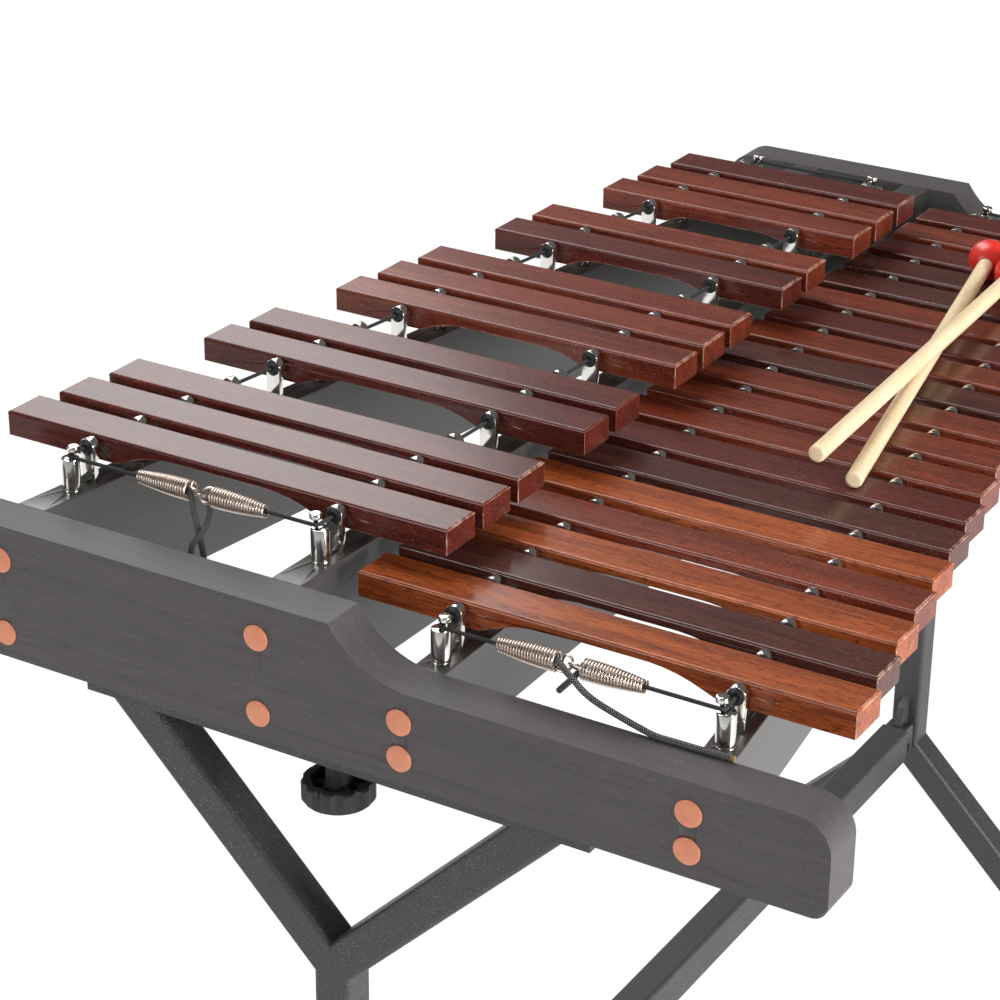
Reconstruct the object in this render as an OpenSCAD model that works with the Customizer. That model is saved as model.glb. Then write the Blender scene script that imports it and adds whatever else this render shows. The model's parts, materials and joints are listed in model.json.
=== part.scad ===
/* [Keyboard] */
// Distance between two neighbouring natural bars, centre to centre
bar_pitch = 50; // [48:0.5:52]
// Width of every bar
bar_width = 37.5; // [34:0.5:38.5]
// Thickness of every bar
bar_thickness = 20; // [17:0.5:21]
// Height of a bar's underside above its rail
bar_lift = 15; // [14:0.5:17]
// Radius of the two long upper edges of a bar
bar_edge = 2.5; // [1:0.25:4]
// Chamfer on the upper end edges of a bar
bar_end_chamfer = 1.2; // [0.5:0.1:2]
// Share of a bar's length from its end to the cord hole
node_share = 0.222; // [0.2:0.002:0.24]
// Depth of the tuning arch under the longest bar
arch_depth_low = 12; // [6:0.5:13]
// Depth of the tuning arch under the shortest bar
arch_depth_high = 4.5; // [3:0.5:8]
// Share of a bar's length that the tuning arch takes up
arch_share = 0.48; // [0.4:0.01:0.52]

/* [Frame] */
// Height of the underside of all four rails above the floor
rail_bottom = 763; // [720:1:790]
// Height of a natural rail
natural_rail_height = 64; // [58:1:70]
// Height of the accidental rails above the natural ones
accidental_rise = 36; // [30:1:37]
// Width of a rail
rail_width = 25; // [22:0.5:30]
// Distance of the accidental outer rail from the middle at the low end
accidental_outer_low = 282; // [270:1:290]
// The same at the high end
accidental_outer_high = 146; // [140:1:156]
// Distance of the accidental inner rail from the middle at the low end
accidental_inner_low = 54; // [52:1:58]
// The same at the high end
accidental_inner_high = 30; // [28:1:34]
// Distance of the natural inner rail from the middle at the low end
natural_inner_low = 63; // [60:1:66]
// The same at the high end
natural_inner_high = 49; // [46:1:52]
// Distance of the natural outer rail from the middle at the low end
natural_outer_low = 283; // [275:1:290]
// The same at the high end
natural_outer_high = 153; // [146:1:160]
// Gap between the first natural stud's centre and the low end board
low_end_gap = 16; // [14:1:24]
// Gap between the last natural stud's centre and the high end board
high_end_gap = 20; // [14:1:30]
// Thickness of an end board
board_thickness = 37; // [32:1:42]
// How far an end board reaches below the rails
board_below_rail = 7; // [4:1:12]
// Half the length of the low end board
low_board_reach = 383; // [365:1:400]
// Half the length of the high end board
high_board_reach = 232; // [220:1:250]
// Place across the board where the low board's hollow step starts
low_step_y = -6; // [-10:1:0]
// Place across the board where the high board's hollow step starts
high_step_y = -10; // [-14:1:-4]
// Radius of the step's hollow arc
step_radius = 78; // [60:1:84]
// Radius of an end board's upper corners
board_corner = 25; // [15:1:30]
// Radius of an end board's lower corners
board_foot_corner = 12; // [6:1:18]

/* [Posts and studs] */
// Height of a cord post above its rail
post_height = 35; // [33:0.5:37]
// Width of a cord post
post_width = 14; // [13:0.5:15]
// Sheet thickness of a cord post
post_sheet = 1.3; // [1:0.1:1.5]
// Depth of the post's lower flanges
post_flange = 4; // [3:0.25:5]
// Depth of the band round the post's arch
post_band = 7; // [6:0.25:8]
// Diameter of the pin that holds a post in the rail
post_pin = 4; // [3:0.25:5]
// Length of that pin in the rail
post_pin_length = 17; // [12:1:18]
// Diameter of a cord stud's body
stud_d = 14; // [13:0.5:16]
// Height of a cord stud's body
stud_body = 25.5; // [23:0.5:26]
// Diameter of a cord stud's head
stud_head_d = 9.2; // [8:0.2:10]
// Diameter of a cord stud's neck
stud_neck_d = 3.4; // [3:0.2:4.2]
// Height of the top of a stud's head above its rail
stud_height = 36; // [34:0.5:38]
// Distance of a stud from the post next to it
stud_to_post = 20; // [18:0.5:24]
// Diameter of a stud's screw in the rail
stud_screw = 6; // [5:0.5:7]
// Length of a stud's screw in the rail
stud_screw_length = 17; // [12:1:18]

/* [Cord and springs] */
// Diameter of the stretched cord
cord_d = 3; // [2.6:0.1:3.2]
// Diameter of the loose cord tails
tail_d = 4.5; // [4:0.1:4.7]
// Radial clearance of the cord in holes and round necks
cord_clearance = 0.3; // [0.2:0.05:0.5]
// Wire diameter of a tension spring
spring_wire = 1.6; // [1.4:0.1:1.7]
// Length of a spring's coiled body
spring_length = 46; // [44:0.5:50]
// Turns of a spring's coiled body
spring_turns = 19; // [17:1:20]
// Radius of the coil's centre line at the narrow end
spring_narrow_radius = 3.9; // [3.7:0.1:4.4]
// Radius of the coil's centre line where it is widest
spring_wide_radius = 6.8; // [6.5:0.1:7.2]
// Radius of a spring's hook
hook_radius = 6; // [5.5:0.1:6.4]
// Where the two natural springs hook together, across the instrument
natural_hook_y = -167; // [-170:1:-164]
// Where the two accidental springs hook together
accidental_hook_y = 153; // [150:1:156]

/* [Screws and knobs] */
// Height of the lower rail screws above the rails' underside
lower_screw_rise = 13; // [11:0.5:14]
// Depth of the upper screws below a natural rail's upper face
natural_screw_depth = 23; // [22:0.5:24]
// Depth of the upper screws below an accidental rail's upper face
accidental_screw_depth = 27.5; // [22:0.5:40]
// Diameter of a rail screw's shank
screw_d = 6; // [5:0.25:7]
// Length of a rail screw in the rail
screw_bite = 45; // [35:1:60]
// Diameter of a screw cap's disc
cap_d = 20; // [18:0.5:22]
// Thickness of a screw cap's disc
cap_thickness = 1.6; // [1:0.1:2.5]
// Diameter of a screw cap's stem and of the screw's head
cap_stem_d = 13; // [11:0.5:14]
// Length of a screw cap's stem
cap_stem = 6; // [4:0.5:8]
// Thickness of a rail screw's head
screw_head = 3.5; // [2.5:0.25:5]
// Diameter of a clamp knob
knob_d = 53; // [46:0.5:60]
// Height of a clamp knob's rim
knob_height = 16; // [14:0.5:26]
// Height of the knob's hub above its rim
knob_hub_rise = 16; // [12:0.5:20]
// Number of grip hollows round a knob
knob_grips = 11; // [8:1:12]
// Diameter of the knob's screw
knob_screw = 8; // [8:1:10]
// Length of the knob's screw inside the end board
knob_screw_bite = 26; // [20:1:34]
// Radial clearance of the knob's screw in its thread
knob_clearance = 0.05; // [0.03:0.01:0.08]

/* [Stand] */
// Side of the stand's square tube
tube = 30; // [26:1:34]
// Wall of the square tube
tube_wall = 2; // [1.5:0.25:3]
// Outer corner radius of the square tube
tube_corner = 4; // [3:0.5:5]
// Length of the flat bar under an end board
clamp_bar_length = 420; // [400:2:450]
// Thickness of that flat bar
clamp_bar_thickness = 8; // [6:0.5:10]
// Distance of an arm's centre line from the middle, under the flat bar
arm_spread = 168; // [150:1:180]
// Distance of a foot's centre line from the middle, on the floor
foot_spread = 245; // [230:1:255]
// Wall of a rubber foot cap
foot_cap_wall = 3; // [2:0.5:4]
// Length of a rubber foot cap along the tube
foot_cap_length = 45; // [35:1:60]
// Height of the rubber under a foot tube
foot_cap_base = 6; // [4:0.5:9]
// Height of the stretcher beam
beam_height = 38; // [34:1:44]
// Height of the beam's centre above the feet's meeting point
beam_above_apex = 15; // [10:1:20]
// Gap between the beam's end and the post
beam_gap = 25; // [22:1:30]
// Thickness of the hook plates and of the lug between them
lug_thickness = 8; // [6:0.5:9]
// Height of the lug above the beam's centre
lug_rise = 44; // [30:1:50]
// Diameter of the lug's pin
lug_pin = 8; // [7:0.5:9]

/* [Mallets] */
// Diameter of a mallet's stick
stick_d = 13.6; // [8:0.2:14.4]
// Length of a mallet from its ball's centre to its butt
mallet_length = 481; // [470:1:500]
// Diameter of a mallet's ball
ball_d = 36; // [30:0.5:38]
// Depth of the stick's hole in the ball
ball_bore = 25; // [18:1:28]

/* [Hidden] */
$fn = 64;
natural_names = [
    "bar_f4", "bar_g4", "bar_a4", "bar_b4", "bar_c5", "bar_d5", "bar_e5", "bar_f5", "bar_g5", "bar_a5",
    "bar_b5", "bar_c6", "bar_d6", "bar_e6", "bar_f6", "bar_g6", "bar_a6", "bar_b6", "bar_c7"
];
accidental_names = [
    "bar_fs4", "bar_gs4", "bar_as4", "bar_cs5", "bar_ds5", "bar_fs5", "bar_gs5", "bar_as5",
    "bar_cs6", "bar_ds6", "bar_fs6", "bar_gs6", "bar_as6"
];
// Gap between naturals in which each accidental stands, counted from the first natural
accidental_slots = [0, 1, 2, 4, 5, 7, 8, 9, 11, 12, 14, 15, 16];
rail_names = ["accidental_outer_rail", "accidental_inner_rail", "natural_inner_rail", "natural_outer_rail"];
post_names = ["accidental_outer_posts", "accidental_inner_posts", "natural_inner_posts", "natural_outer_posts"];

black_paint = "#3a3836";
nickel = "#cfcdc8";
steel = "#8d8f92";
rubber = "#262626";
copper = "#d9835c";
birch = "#ead9b4";
red = "#d3231c";
// Wood of a natural and of an accidental bar, one after the other
wood = ["#8a3f1c", "#5a2a20", "#6b3020"];

// Small allowances
slip = 0.3;
seat = 0.1;
weld = 1;
eps = 1;

// Lengths and heights of the frame
natural_last = len(natural_names) - 1;
post_span = (natural_last + 1) * bar_pitch;
rail_length = post_span + 2 * stud_to_post + low_end_gap + high_end_gap;
first_stud_x = -rail_length / 2 + low_end_gap;
first_bar_x = first_stud_x + stud_to_post + bar_pitch / 2;
last_bar_x = first_bar_x + natural_last * bar_pitch;
natural_top = rail_bottom + natural_rail_height;
accidental_top = natural_top + accidental_rise;
board_bottom = rail_bottom - board_below_rail;
board_x = rail_length / 2 + board_thickness / 2;
bar_top = bar_lift + bar_thickness;
cord_height = post_height - post_width / 2;
hole_d = cord_d + 2 * cord_clearance;
bend = (stud_neck_d + cord_d) / 2 + cord_clearance;
grommet_flange_d = post_width - 1.4;
grommet_neck_d = 8;
grommet_flange = 1.6;
grommet_body_d = post_width - 2 * post_sheet - 2 * seat;

// Springs' hooks, and the knots that hold the cord inside the springs
cord_lap = 0.2;
cord_shy = 0.02;
hook_start = 5;
hook_lead = 8;
hook_reach = hook_start + hook_radius;
mouth = hook_reach - (spring_wire + slip) / 2;
tail_start = 40;
knot_r = 4;
knot_face = 2.5;

// The stand's joints
arm_meet_z = board_bottom - clamp_bar_thickness - arm_spread;
foot_meet_z = foot_spread;
beam_z = foot_meet_z + beam_above_apex;

// The four rails: accidental outer, accidental inner, natural inner, natural outer
rail_low = [accidental_outer_low, accidental_inner_low, -natural_inner_low, -natural_outer_low];
rail_high = [accidental_outer_high, accidental_inner_high, -natural_inner_high, -natural_outer_high];
function rail_y(k, x) = rail_low[k] + (rail_high[k] - rail_low[k]) * (x / rail_length + 0.5);
function rail_turn(k) = atan((rail_high[k] - rail_low[k]) / rail_length);
function rail_top(k) = k < 2 ? accidental_top : natural_top;
function partner(k) = [1, 0, 3, 2][k];
function inward(k) = sign(rail_low[partner(k)] - rail_low[k]);
function post_xs(k) = k < 2
    ? [for (i = [0:natural_last - 1]) first_bar_x + i * bar_pitch]
    : [for (i = [0:natural_last + 1]) first_bar_x + (i - 0.5) * bar_pitch];
function low_stud_x(k) = post_xs(k)[0] - stud_to_post;
function high_stud_x(k) = post_xs(k)[len(post_xs(k)) - 1] + stud_to_post;
function stud_xs(k) = [low_stud_x(k), high_stud_x(k)];
function neck_y(k, x) = rail_y(k, x) + inward(k) * bend / cos(rail_turn(k));
function screw_zs(k) = [
    rail_bottom + lower_screw_rise,
    rail_top(k) - (k < 2 ? accidental_screw_depth : natural_screw_depth)
];

// Bars
function bar_length(x, outer, inner) = abs(rail_y(outer, x) - rail_y(inner, x)) / (1 - 2 * node_share);
function arch_depth(x) =
    arch_depth_low + (arch_depth_high - arch_depth_low) * (x - first_bar_x) / (last_bar_x - first_bar_x);

module bar_side(length) {
    polygon([
        [-length / 2, 0],
        [length / 2, 0],
        [length / 2, bar_thickness - bar_end_chamfer],
        [length / 2 - bar_end_chamfer, bar_thickness],
        [-length / 2 + bar_end_chamfer, bar_thickness],
        [-length / 2, bar_thickness - bar_end_chamfer]
    ]);
}

module bar_section() {
    translate([-bar_width / 2, 0]) square([bar_width, bar_thickness - bar_edge]);
    translate([-bar_width / 2 + bar_edge, 0]) square([bar_width - 2 * bar_edge, bar_thickness]);
    for (side = [-1, 1]) translate([side * (bar_width / 2 - bar_edge), bar_thickness - bar_edge]) circle(bar_edge);
}

module bar(x, outer, inner) {
    length = bar_length(x, outer, inner);
    middle = (rail_y(outer, x) + rail_y(inner, x)) / 2;
    depth = arch_depth(x);
    half_chord = arch_share * length / 2;
    arch_radius = (half_chord * half_chord + depth * depth) / (2 * depth);
    translate([x, middle, rail_top(outer) + bar_lift]) difference() {
        intersection() {
            rotate([90, 0, 0]) linear_extrude(length + 2, center = true) bar_section();
            rotate([90, 0, 90]) linear_extrude(bar_width + 2, center = true) bar_side(length);
        }
        translate([0, 0, depth - arch_radius]) rotate([0, 90, 0])
            cylinder(r = arch_radius, h = bar_width + 2, center = true, $fn = 360);
        for (k = [outer, inner]) translate([0, rail_y(k, x) - middle, cord_height - bar_lift])
            rotate([0, 0, rail_turn(k)]) rotate([0, 90, 0])
                cylinder(d = hole_d, h = 2 * bar_width, center = true);
    }
}

module natural_bar(i) {
    color(wood[i % 3]) bar(first_bar_x + i * bar_pitch, 3, 2);
}

module accidental_bar(i) {
    color(wood[(i + 1) % 3]) bar(first_bar_x + (accidental_slots[i] + 0.5) * bar_pitch, 0, 1);
}

// Rails
module rail(k) {
    low = -rail_length / 2;
    color(black_paint) difference() {
        translate([0, 0, rail_bottom]) linear_extrude(rail_top(k) - rail_bottom) polygon([
            [low, rail_low[k] - rail_width / 2],
            [-low, rail_high[k] - rail_width / 2],
            [-low, rail_high[k] + rail_width / 2],
            [low, rail_low[k] + rail_width / 2]
        ]);
        for (x = post_xs(k)) translate([x, rail_y(k, x), rail_top(k) - post_pin_length - 1])
            cylinder(d = post_pin + 2 * seat, h = post_pin_length + 2);
        for (x = stud_xs(k)) translate([x, rail_y(k, x), rail_top(k) - stud_screw_length - 1])
            cylinder(d = stud_screw + 2 * seat, h = stud_screw_length + 2);
        for (side = [-1, 1], z = screw_zs(k))
            translate([side * rail_length / 2, rail_y(k, side * rail_length / 2), z])
                rotate([0, 90, 0]) cylinder(d = screw_d + 2 * seat, h = 2 * screw_bite + 2, center = true);
    }
}

// Cord posts, pressed from sheet, with a solid face towards the low end
module post_outline(inset) {
    half = post_width / 2 - inset;
    translate([-half, 0]) square([2 * half, cord_height]);
    translate([0, cord_height]) circle(half);
}

module post_wall(depth, from_z) {
    rotate([90, 0, 90]) linear_extrude(depth) difference() {
        intersection() {
            post_outline(0);
            translate([-post_width, from_z]) square([2 * post_width, 2 * post_height]);
        }
        post_outline(post_sheet);
    }
}

module post() {
    face_x = -post_band / 2;
    band_z = cord_height - grommet_flange_d / 2 - 2;
    difference() {
        translate([face_x, 0, 0]) {
            rotate([90, 0, 90]) linear_extrude(post_sheet) post_outline(0);
            post_wall(post_flange, 0);
            post_wall(post_band, band_z);
        }
        translate([face_x, 0, cord_height]) rotate([0, 90, 0])
            cylinder(d = grommet_neck_d + 2 * seat, h = 4 * post_sheet, center = true);
    }
    translate([0, 0, -post_pin_length]) cylinder(d = post_pin, h = post_pin_length);
    translate([face_x, -post_pin / 2, 0]) cube([post_band / 2, post_pin, 2]);
}

module posts(k) {
    color(nickel) for (x = post_xs(k)) translate([x, rail_y(k, x), rail_top(k)])
        rotate([0, 0, rail_turn(k)]) post();
}

// Rubber grommets, snapped into the posts' faces and filling their arches
module grommet() {
    face_x = -post_band / 2;
    neck = post_sheet + 2 * seat;
    difference() {
        translate([face_x - seat, 0, 0]) rotate([0, 90, 0]) {
            translate([0, 0, -grommet_flange]) cylinder(d = grommet_flange_d, h = grommet_flange);
            translate([0, 0, -eps / 2]) cylinder(d = grommet_neck_d, h = neck + eps);
            translate([0, 0, neck]) cylinder(d = grommet_body_d, h = post_band - post_sheet - slip);
        }
        rotate([0, 90, 0]) cylinder(d = hole_d, h = 4 * post_band, center = true);
    }
}

module grommets() {
    color(rubber) for (k = [0:3], x = post_xs(k)) translate([x, rail_y(k, x), rail_top(k) + cord_height])
        rotate([0, 0, rail_turn(k)]) grommet();
}

// Turned studs with an eccentric head that leads the cord round the corner
module stud_body_shape() {
    rim = 1.2;
    rotate_extrude() polygon([
        [0, 0], [stud_d / 2 + 0.5, 0], [stud_d / 2 + 0.5, rim], [stud_d / 2, rim + 0.5],
        [stud_d / 2, stud_body - 0.6], [stud_d / 2 - 0.6, stud_body], [0, stud_body]
    ]);
    translate([0, 0, -stud_screw_length]) cylinder(d = stud_screw, h = stud_screw_length + 1);
}

module stud_head_shape() {
    neck_r = stud_neck_d / 2;
    head_r = stud_head_d / 2;
    cone_z = cord_height + cord_d / 2 + cord_clearance;
    rotate_extrude() polygon([
        [0, stud_body - 2], [neck_r, stud_body - 2], [neck_r, cone_z], [head_r, cone_z + 2.2],
        [head_r, stud_height - 1.1], [head_r - 1.2, stud_height - 0.3], [head_r / 2, stud_height],
        [0, stud_height]
    ]);
}

module cord_studs() {
    color(nickel) for (k = [0:3], x = stud_xs(k)) {
        translate([x, rail_y(k, x), rail_top(k)]) stud_body_shape();
        translate([x, neck_y(k, x), rail_top(k)]) stud_head_shape();
    }
}

// One stretched cord for each row of bars: round four studs, through posts and bars, to two springs
function hook_y(k) = k < 2 ? accidental_hook_y : natural_hook_y;

module cord_knot(k) {
    toward = inward(k);
    translate([0, hook_y(k) - toward * (tail_start + knot_face), 0]) intersection() {
        sphere(knot_r);
        translate([-knot_r, toward > 0 ? -2 * knot_r + knot_face : -knot_face, -knot_r])
            cube([2 * knot_r, 2 * knot_r, 2 * knot_r]);
    }
}

module cord_corner(k, x, end) {
    turn = 90 - end * inward(k) * rail_turn(k);
    start = end < 0 ? 180 : 0;
    swing = -end * inward(k) * turn;
    translate([x, neck_y(k, x), 0]) rotate([0, 0, start - (swing > 0 ? 0 : -swing)])
        rotate_extrude(angle = abs(swing)) translate([bend, 0]) circle(d = cord_d);
}

// A straight run laps a little into the bends at its ends, just inside their surface
module cord_run(from, to) {
    run = to - from;
    translate([from[0], from[1], 0]) rotate([0, 0, atan2(run[1], run[0])]) rotate([0, 90, 0])
        translate([0, 0, -cord_lap]) cylinder(d = cord_d - cord_shy, h = norm(run) + 2 * cord_lap);
}

module cord_along_rail(k) {
    off = -inward(k) * bend * [-sin(rail_turn(k)), cos(rail_turn(k))];
    ends = [for (x = stud_xs(k)) [x, neck_y(k, x)] + off];
    cord_run(ends[0], ends[1]);
}

module bar_cord(outer, inner) {
    low_x = low_stud_x(outer);
    high_x = high_stud_x(outer);
    translate([0, 0, rail_top(outer) + cord_height]) {
        for (k = [outer, inner]) {
            cord_along_rail(k);
            cord_corner(k, low_x, -1);
            cord_corner(k, high_x, 1);
            cord_run([low_x - bend, neck_y(k, low_x)], [low_x - bend, hook_y(k) - inward(k) * (tail_start + knot_face)]);
            translate([low_x - bend, 0, 0]) cord_knot(k);
        }
        cord_run([high_x + bend, neck_y(outer, high_x)], [high_x + bend, neck_y(inner, high_x)]);
    }
}

module bar_cords() {
    color(rubber) {
        bar_cord(0, 1);
        bar_cord(3, 2);
    }
}

// A round tube swept along points, with its rings carried along without twist
function unit(v) = v / norm(v);
function heading(p, i) = unit(p[min(i + 1, len(p) - 1)] - p[max(i - 1, 0)]);
function carried(n, t) = unit(n - t * (n * t));
function sides_along(p, first) = [
    for (i = 0, n = carried(first, heading(p, 0)); i < len(p); i = i + 1,
        n = i < len(p) ? carried(n, heading(p, i)) : n) n
];
function ring(c, n, b, r, sides) = [for (j = [0:sides - 1]) c + r * (cos(360 * j / sides) * n + sin(360 * j / sides) * b)];
function tube_points(p, n, r, sides) = [
    for (i = [0:len(p) - 1]) each ring(p[i], n[i], cross(heading(p, i), n[i]), r, sides)
];
function tube_faces(rings, sides) = concat(
    [for (j = [1:sides - 2]) [0, j, j + 1]],
    [for (i = [0:rings - 2], j = [0:sides - 1]) each let (
        a = i * sides + j, b = i * sides + (j + 1) % sides
    ) [[a, a + sides, b + sides], [a, b + sides, b]]],
    [for (j = [1:sides - 2]) [(rings - 1) * sides, (rings - 1) * sides + j + 1, (rings - 1) * sides + j]]
);

module swept_tube(p, first, r, sides) {
    polyhedron(points = tube_points(p, sides_along(p, first), r, sides), faces = tube_faces(len(p), sides));
}

function path_length(p) = [for (i = 0, s = 0; i < len(p); i = i + 1,
    s = i < len(p) ? s + norm(p[i] - p[i - 1]) : s) s][len(p) - 1];

// Barrel-shaped tension springs with open hooks, lying along X with the mouth at zero
coil_steps = 8;
coil_end = spring_turns * coil_steps;
function coil_radius(t) =
    spring_narrow_radius + (spring_wide_radius - spring_narrow_radius) * sin(105 * t);
function coil_point(i) = let (t = i / coil_end, turn = 270 - 360 * (coil_end - i) / coil_steps)
    [spring_length * (t - 1), coil_radius(t) * cos(turn), coil_radius(t) * sin(turn)];
function eased(a, ta, b, tb, t) =
    (2 * pow(t, 3) - 3 * t * t + 1) * a + (pow(t, 3) - 2 * t * t + t) * ta
    + (3 * t * t - 2 * pow(t, 3)) * b + (pow(t, 3) - t * t) * tb;
hook_rise = [for (t = [0.2:0.2:0.8]) eased(
    coil_point(coil_end), [1, hook_lead, 0], [hook_start, hook_radius, 0], [hook_lead, 0, 0], t
)];
hook_arc = [for (a = [90:-30:-150]) [hook_start + hook_radius * cos(a), hook_radius * sin(a), 0]];
spring_path = concat([for (i = [0:coil_end]) coil_point(i)], hook_rise, hook_arc);
spring_gap = min([for (i = [0:len(spring_path) - 1], j = [i + coil_steps - 2:1:len(spring_path) - 1])
    norm(spring_path[i] - spring_path[j])]) - spring_wire;
echo(least_gap_of_a_spring_to_itself = spring_gap);

module spring() {
    swept_tube(spring_path, [0, 0, 1], spring_wire / 2, 6);
}

// The two springs of one cord, hooked into each other; each angle turns a hook about the cord
module spring_pair(outer, outer_angle, inner_angle) {
    toward = inward(outer);
    translate([low_stud_x(outer) - bend, hook_y(outer), rail_top(outer) + cord_height])
        for (half = [[-1, toward > 0 ? outer_angle : inner_angle], [1, toward > 0 ? inner_angle : outer_angle]])
            translate([0, half[0] * mouth, 0]) rotate([0, 0, -90 * half[0]]) rotate([half[1], 0, 0]) spring();
}

module tension_springs() {
    color(nickel) {
        spring_pair(0, 135, -45);
        spring_pair(3, -135, 45);
    }
}

// Loose tails of the cords, from the knots inside the springs to their cut ends
natural_long_tail = [
    [-500.5, -127, 855], [-500.5, -135, 855], [-500.5, -144, 855], [-501, -151, 856], [-502.8, -157.5, 857],
    [-506.5, -163.5, 856.5], [-510, -169, 855], [-512, -175.5, 852], [-512.5, -182.5, 846.5],
    [-512.5, -192.5, 841], [-512.5, -208, 836], [-513, -224, 832], [-514, -239, 829.5],
    [-514, -254, 829.5], [-514, -268, 829.5], [-513.5, -282, 829.5], [-513, -296, 829.5]
];
natural_short_tail = [
    [-500.5, -207, 855], [-500.5, -198, 855], [-500.5, -188, 855], [-500.5, -182, 855], [-500.5, -177, 854],
    [-500, -172.5, 850.5], [-499.5, -168.5, 845.5], [-499, -163, 839], [-498.5, -157, 832]
];
accidental_left_tail = [
    [-475.5, 193, 891], [-475.5, 184, 891], [-475.5, 175, 891], [-475.5, 169, 891], [-477, 163.5, 889.5],
    [-479, 159.5, 885], [-479.5, 158, 878], [-479, 156.5, 868], [-478, 154.5, 856], [-477, 153, 843],
    [-476.5, 152, 830], [-476.5, 151, 816], [-476.5, 150.5, 802]
];
accidental_right_tail = [
    [-475.5, 113, 891], [-475.5, 122, 891], [-475.5, 131, 891], [-475.6, 137.5, 890.9],
    [-475.9, 142.5, 890.3], [-474.9, 146.5, 888.8], [-472.5, 149.3, 885.5], [-471, 150.2, 880.5],
    [-471.3, 150, 875], [-474, 150, 869.5], [-479, 149.5, 865], [-483.5, 151.8, 860],
    [-485.5, 155.5, 854], [-484.5, 158.5, 846], [-484, 160.2, 835], [-483.5, 161.3, 822],
    [-483.5, 161.8, 812], [-483.5, 162, 803]
];
echo(tail_lengths = [for (p = [natural_long_tail, natural_short_tail, accidental_left_tail, accidental_right_tail])
    path_length(p)]);

module tail(p) {
    swept_tube(p, [0, 0, 1], tail_d / 2, 8);
}

module natural_cord_tails() {
    color(rubber) {
        tail(natural_long_tail);
        tail(natural_short_tail);
    }
}

module accidental_cord_tails() {
    color(rubber) {
        tail(accidental_left_tail);
        tail(accidental_right_tail);
    }
}

// End boards with a curved step between the two rows
module corner_cut(r) {
    difference() {
        square(r + eps);
        circle(r);
    }
}

module step_outline(step) {
    end_y = step - sqrt(2 * step_radius * accidental_rise - accidental_rise * accidental_rise);
    difference() {
        translate([end_y, natural_top - eps]) square([step - end_y + eps, accidental_rise + eps]);
        translate([end_y, natural_top + step_radius]) circle(step_radius, $fn = 360);
    }
}

module board_outline(reach, step) {
    difference() {
        union() {
            translate([-reach, board_bottom]) square([2 * reach, natural_top - board_bottom]);
            translate([step + eps / 2, board_bottom])
                square([reach - step - eps / 2, accidental_top - board_bottom]);
            step_outline(step);
        }
        translate([reach - board_corner, accidental_top - board_corner]) corner_cut(board_corner);
        translate([-reach + board_corner, natural_top - board_corner]) rotate(90) corner_cut(board_corner);
        for (side = [0, 1]) mirror([side, 0])
            translate([reach - board_foot_corner, board_bottom + board_foot_corner])
                rotate(-90) corner_cut(board_foot_corner);
    }
}

module end_board(side, reach, step) {
    inner_x = side * rail_length / 2;
    outer_x = side * (rail_length / 2 + board_thickness);
    sink = cap_stem + screw_head;
    color(black_paint) difference() {
        translate([min(inner_x, outer_x), 0, 0]) rotate([90, 0, 90]) linear_extrude(board_thickness)
            board_outline(reach, step);
        for (k = [0:3], z = screw_zs(k)) translate([outer_x, rail_y(k, inner_x), z]) rotate([0, 90, 0]) {
            cylinder(d = screw_d + 2 * seat, h = 2 * board_thickness + 2, center = true);
            cylinder(d = cap_stem_d + 2 * seat, h = 2 * sink, center = true);
        }
        translate([side * board_x, 0, board_bottom - 1])
            cylinder(d = knob_screw + 2 * knob_clearance, h = knob_screw_bite + 3);
    }
}

module low_end_board() {
    end_board(-1, low_board_reach, low_step_y);
}

module high_end_board() {
    end_board(1, high_board_reach, high_step_y);
}

// Screws through the end boards into the rails, and the caps that hide them
module at_rail_screws() {
    for (side = [-1, 1], k = [0:3], z = screw_zs(k))
        translate([side * (rail_length / 2 + board_thickness), rail_y(k, side * rail_length / 2), z])
            rotate([0, 90 * side, 0]) children();
}

module rail_screws() {
    color(steel) at_rail_screws() {
        translate([0, 0, -cap_stem - screw_head]) cylinder(d = cap_stem_d - 1, h = screw_head);
        translate([0, 0, -board_thickness - screw_bite])
            cylinder(d = screw_d, h = screw_bite + board_thickness - cap_stem - screw_head + eps);
    }
}

module screw_caps() {
    color(copper) at_rail_screws() rotate_extrude() polygon([
        [0, -cap_stem], [cap_stem_d / 2, -cap_stem], [cap_stem_d / 2, 0], [cap_d / 2, 0],
        [cap_d / 2, cap_thickness * 0.4], [cap_d / 2 - 0.8, cap_thickness * 0.85],
        [cap_d / 4, cap_thickness], [0, cap_thickness]
    ]);
}

// Welded trestles: flat bar, two arms, post and two feet of square tube
module tube_section(inset) {
    half = tube / 2 - inset;
    r = tube_corner - inset;
    square([2 * half, 2 * (half - r)], center = true);
    square([2 * (half - r), 2 * half], center = true);
    for (i = [-1, 1], j = [-1, 1]) translate([i * (half - r), j * (half - r)]) circle(r, $fn = 12);
}

// A tube that leaves a joint at 45 degrees, lapping over its twin in the middle
module slanted_tube(inset, end_z) {
    lap = tube / 6;
    intersection() {
        rotate([-45, 0, 0]) translate([0, 0, -tube]) linear_extrude(2 * foot_spread) tube_section(inset);
        translate([-tube, -lap, -2 * tube]) cube([2 * tube, 2 * foot_spread, 2 * tube + end_z]);
    }
}

module trestle_tubes(inset, bottom_z, top_z) {
    translate([0, 0, foot_meet_z]) linear_extrude(arm_meet_z - foot_meet_z) tube_section(inset);
    for (side = [0, 1]) mirror([0, side, 0]) {
        translate([0, 0, arm_meet_z]) slanted_tube(inset, top_z - arm_meet_z);
        translate([0, 0, foot_meet_z]) mirror([0, 0, 1]) slanted_tube(inset, foot_meet_z - bottom_z);
    }
}

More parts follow.
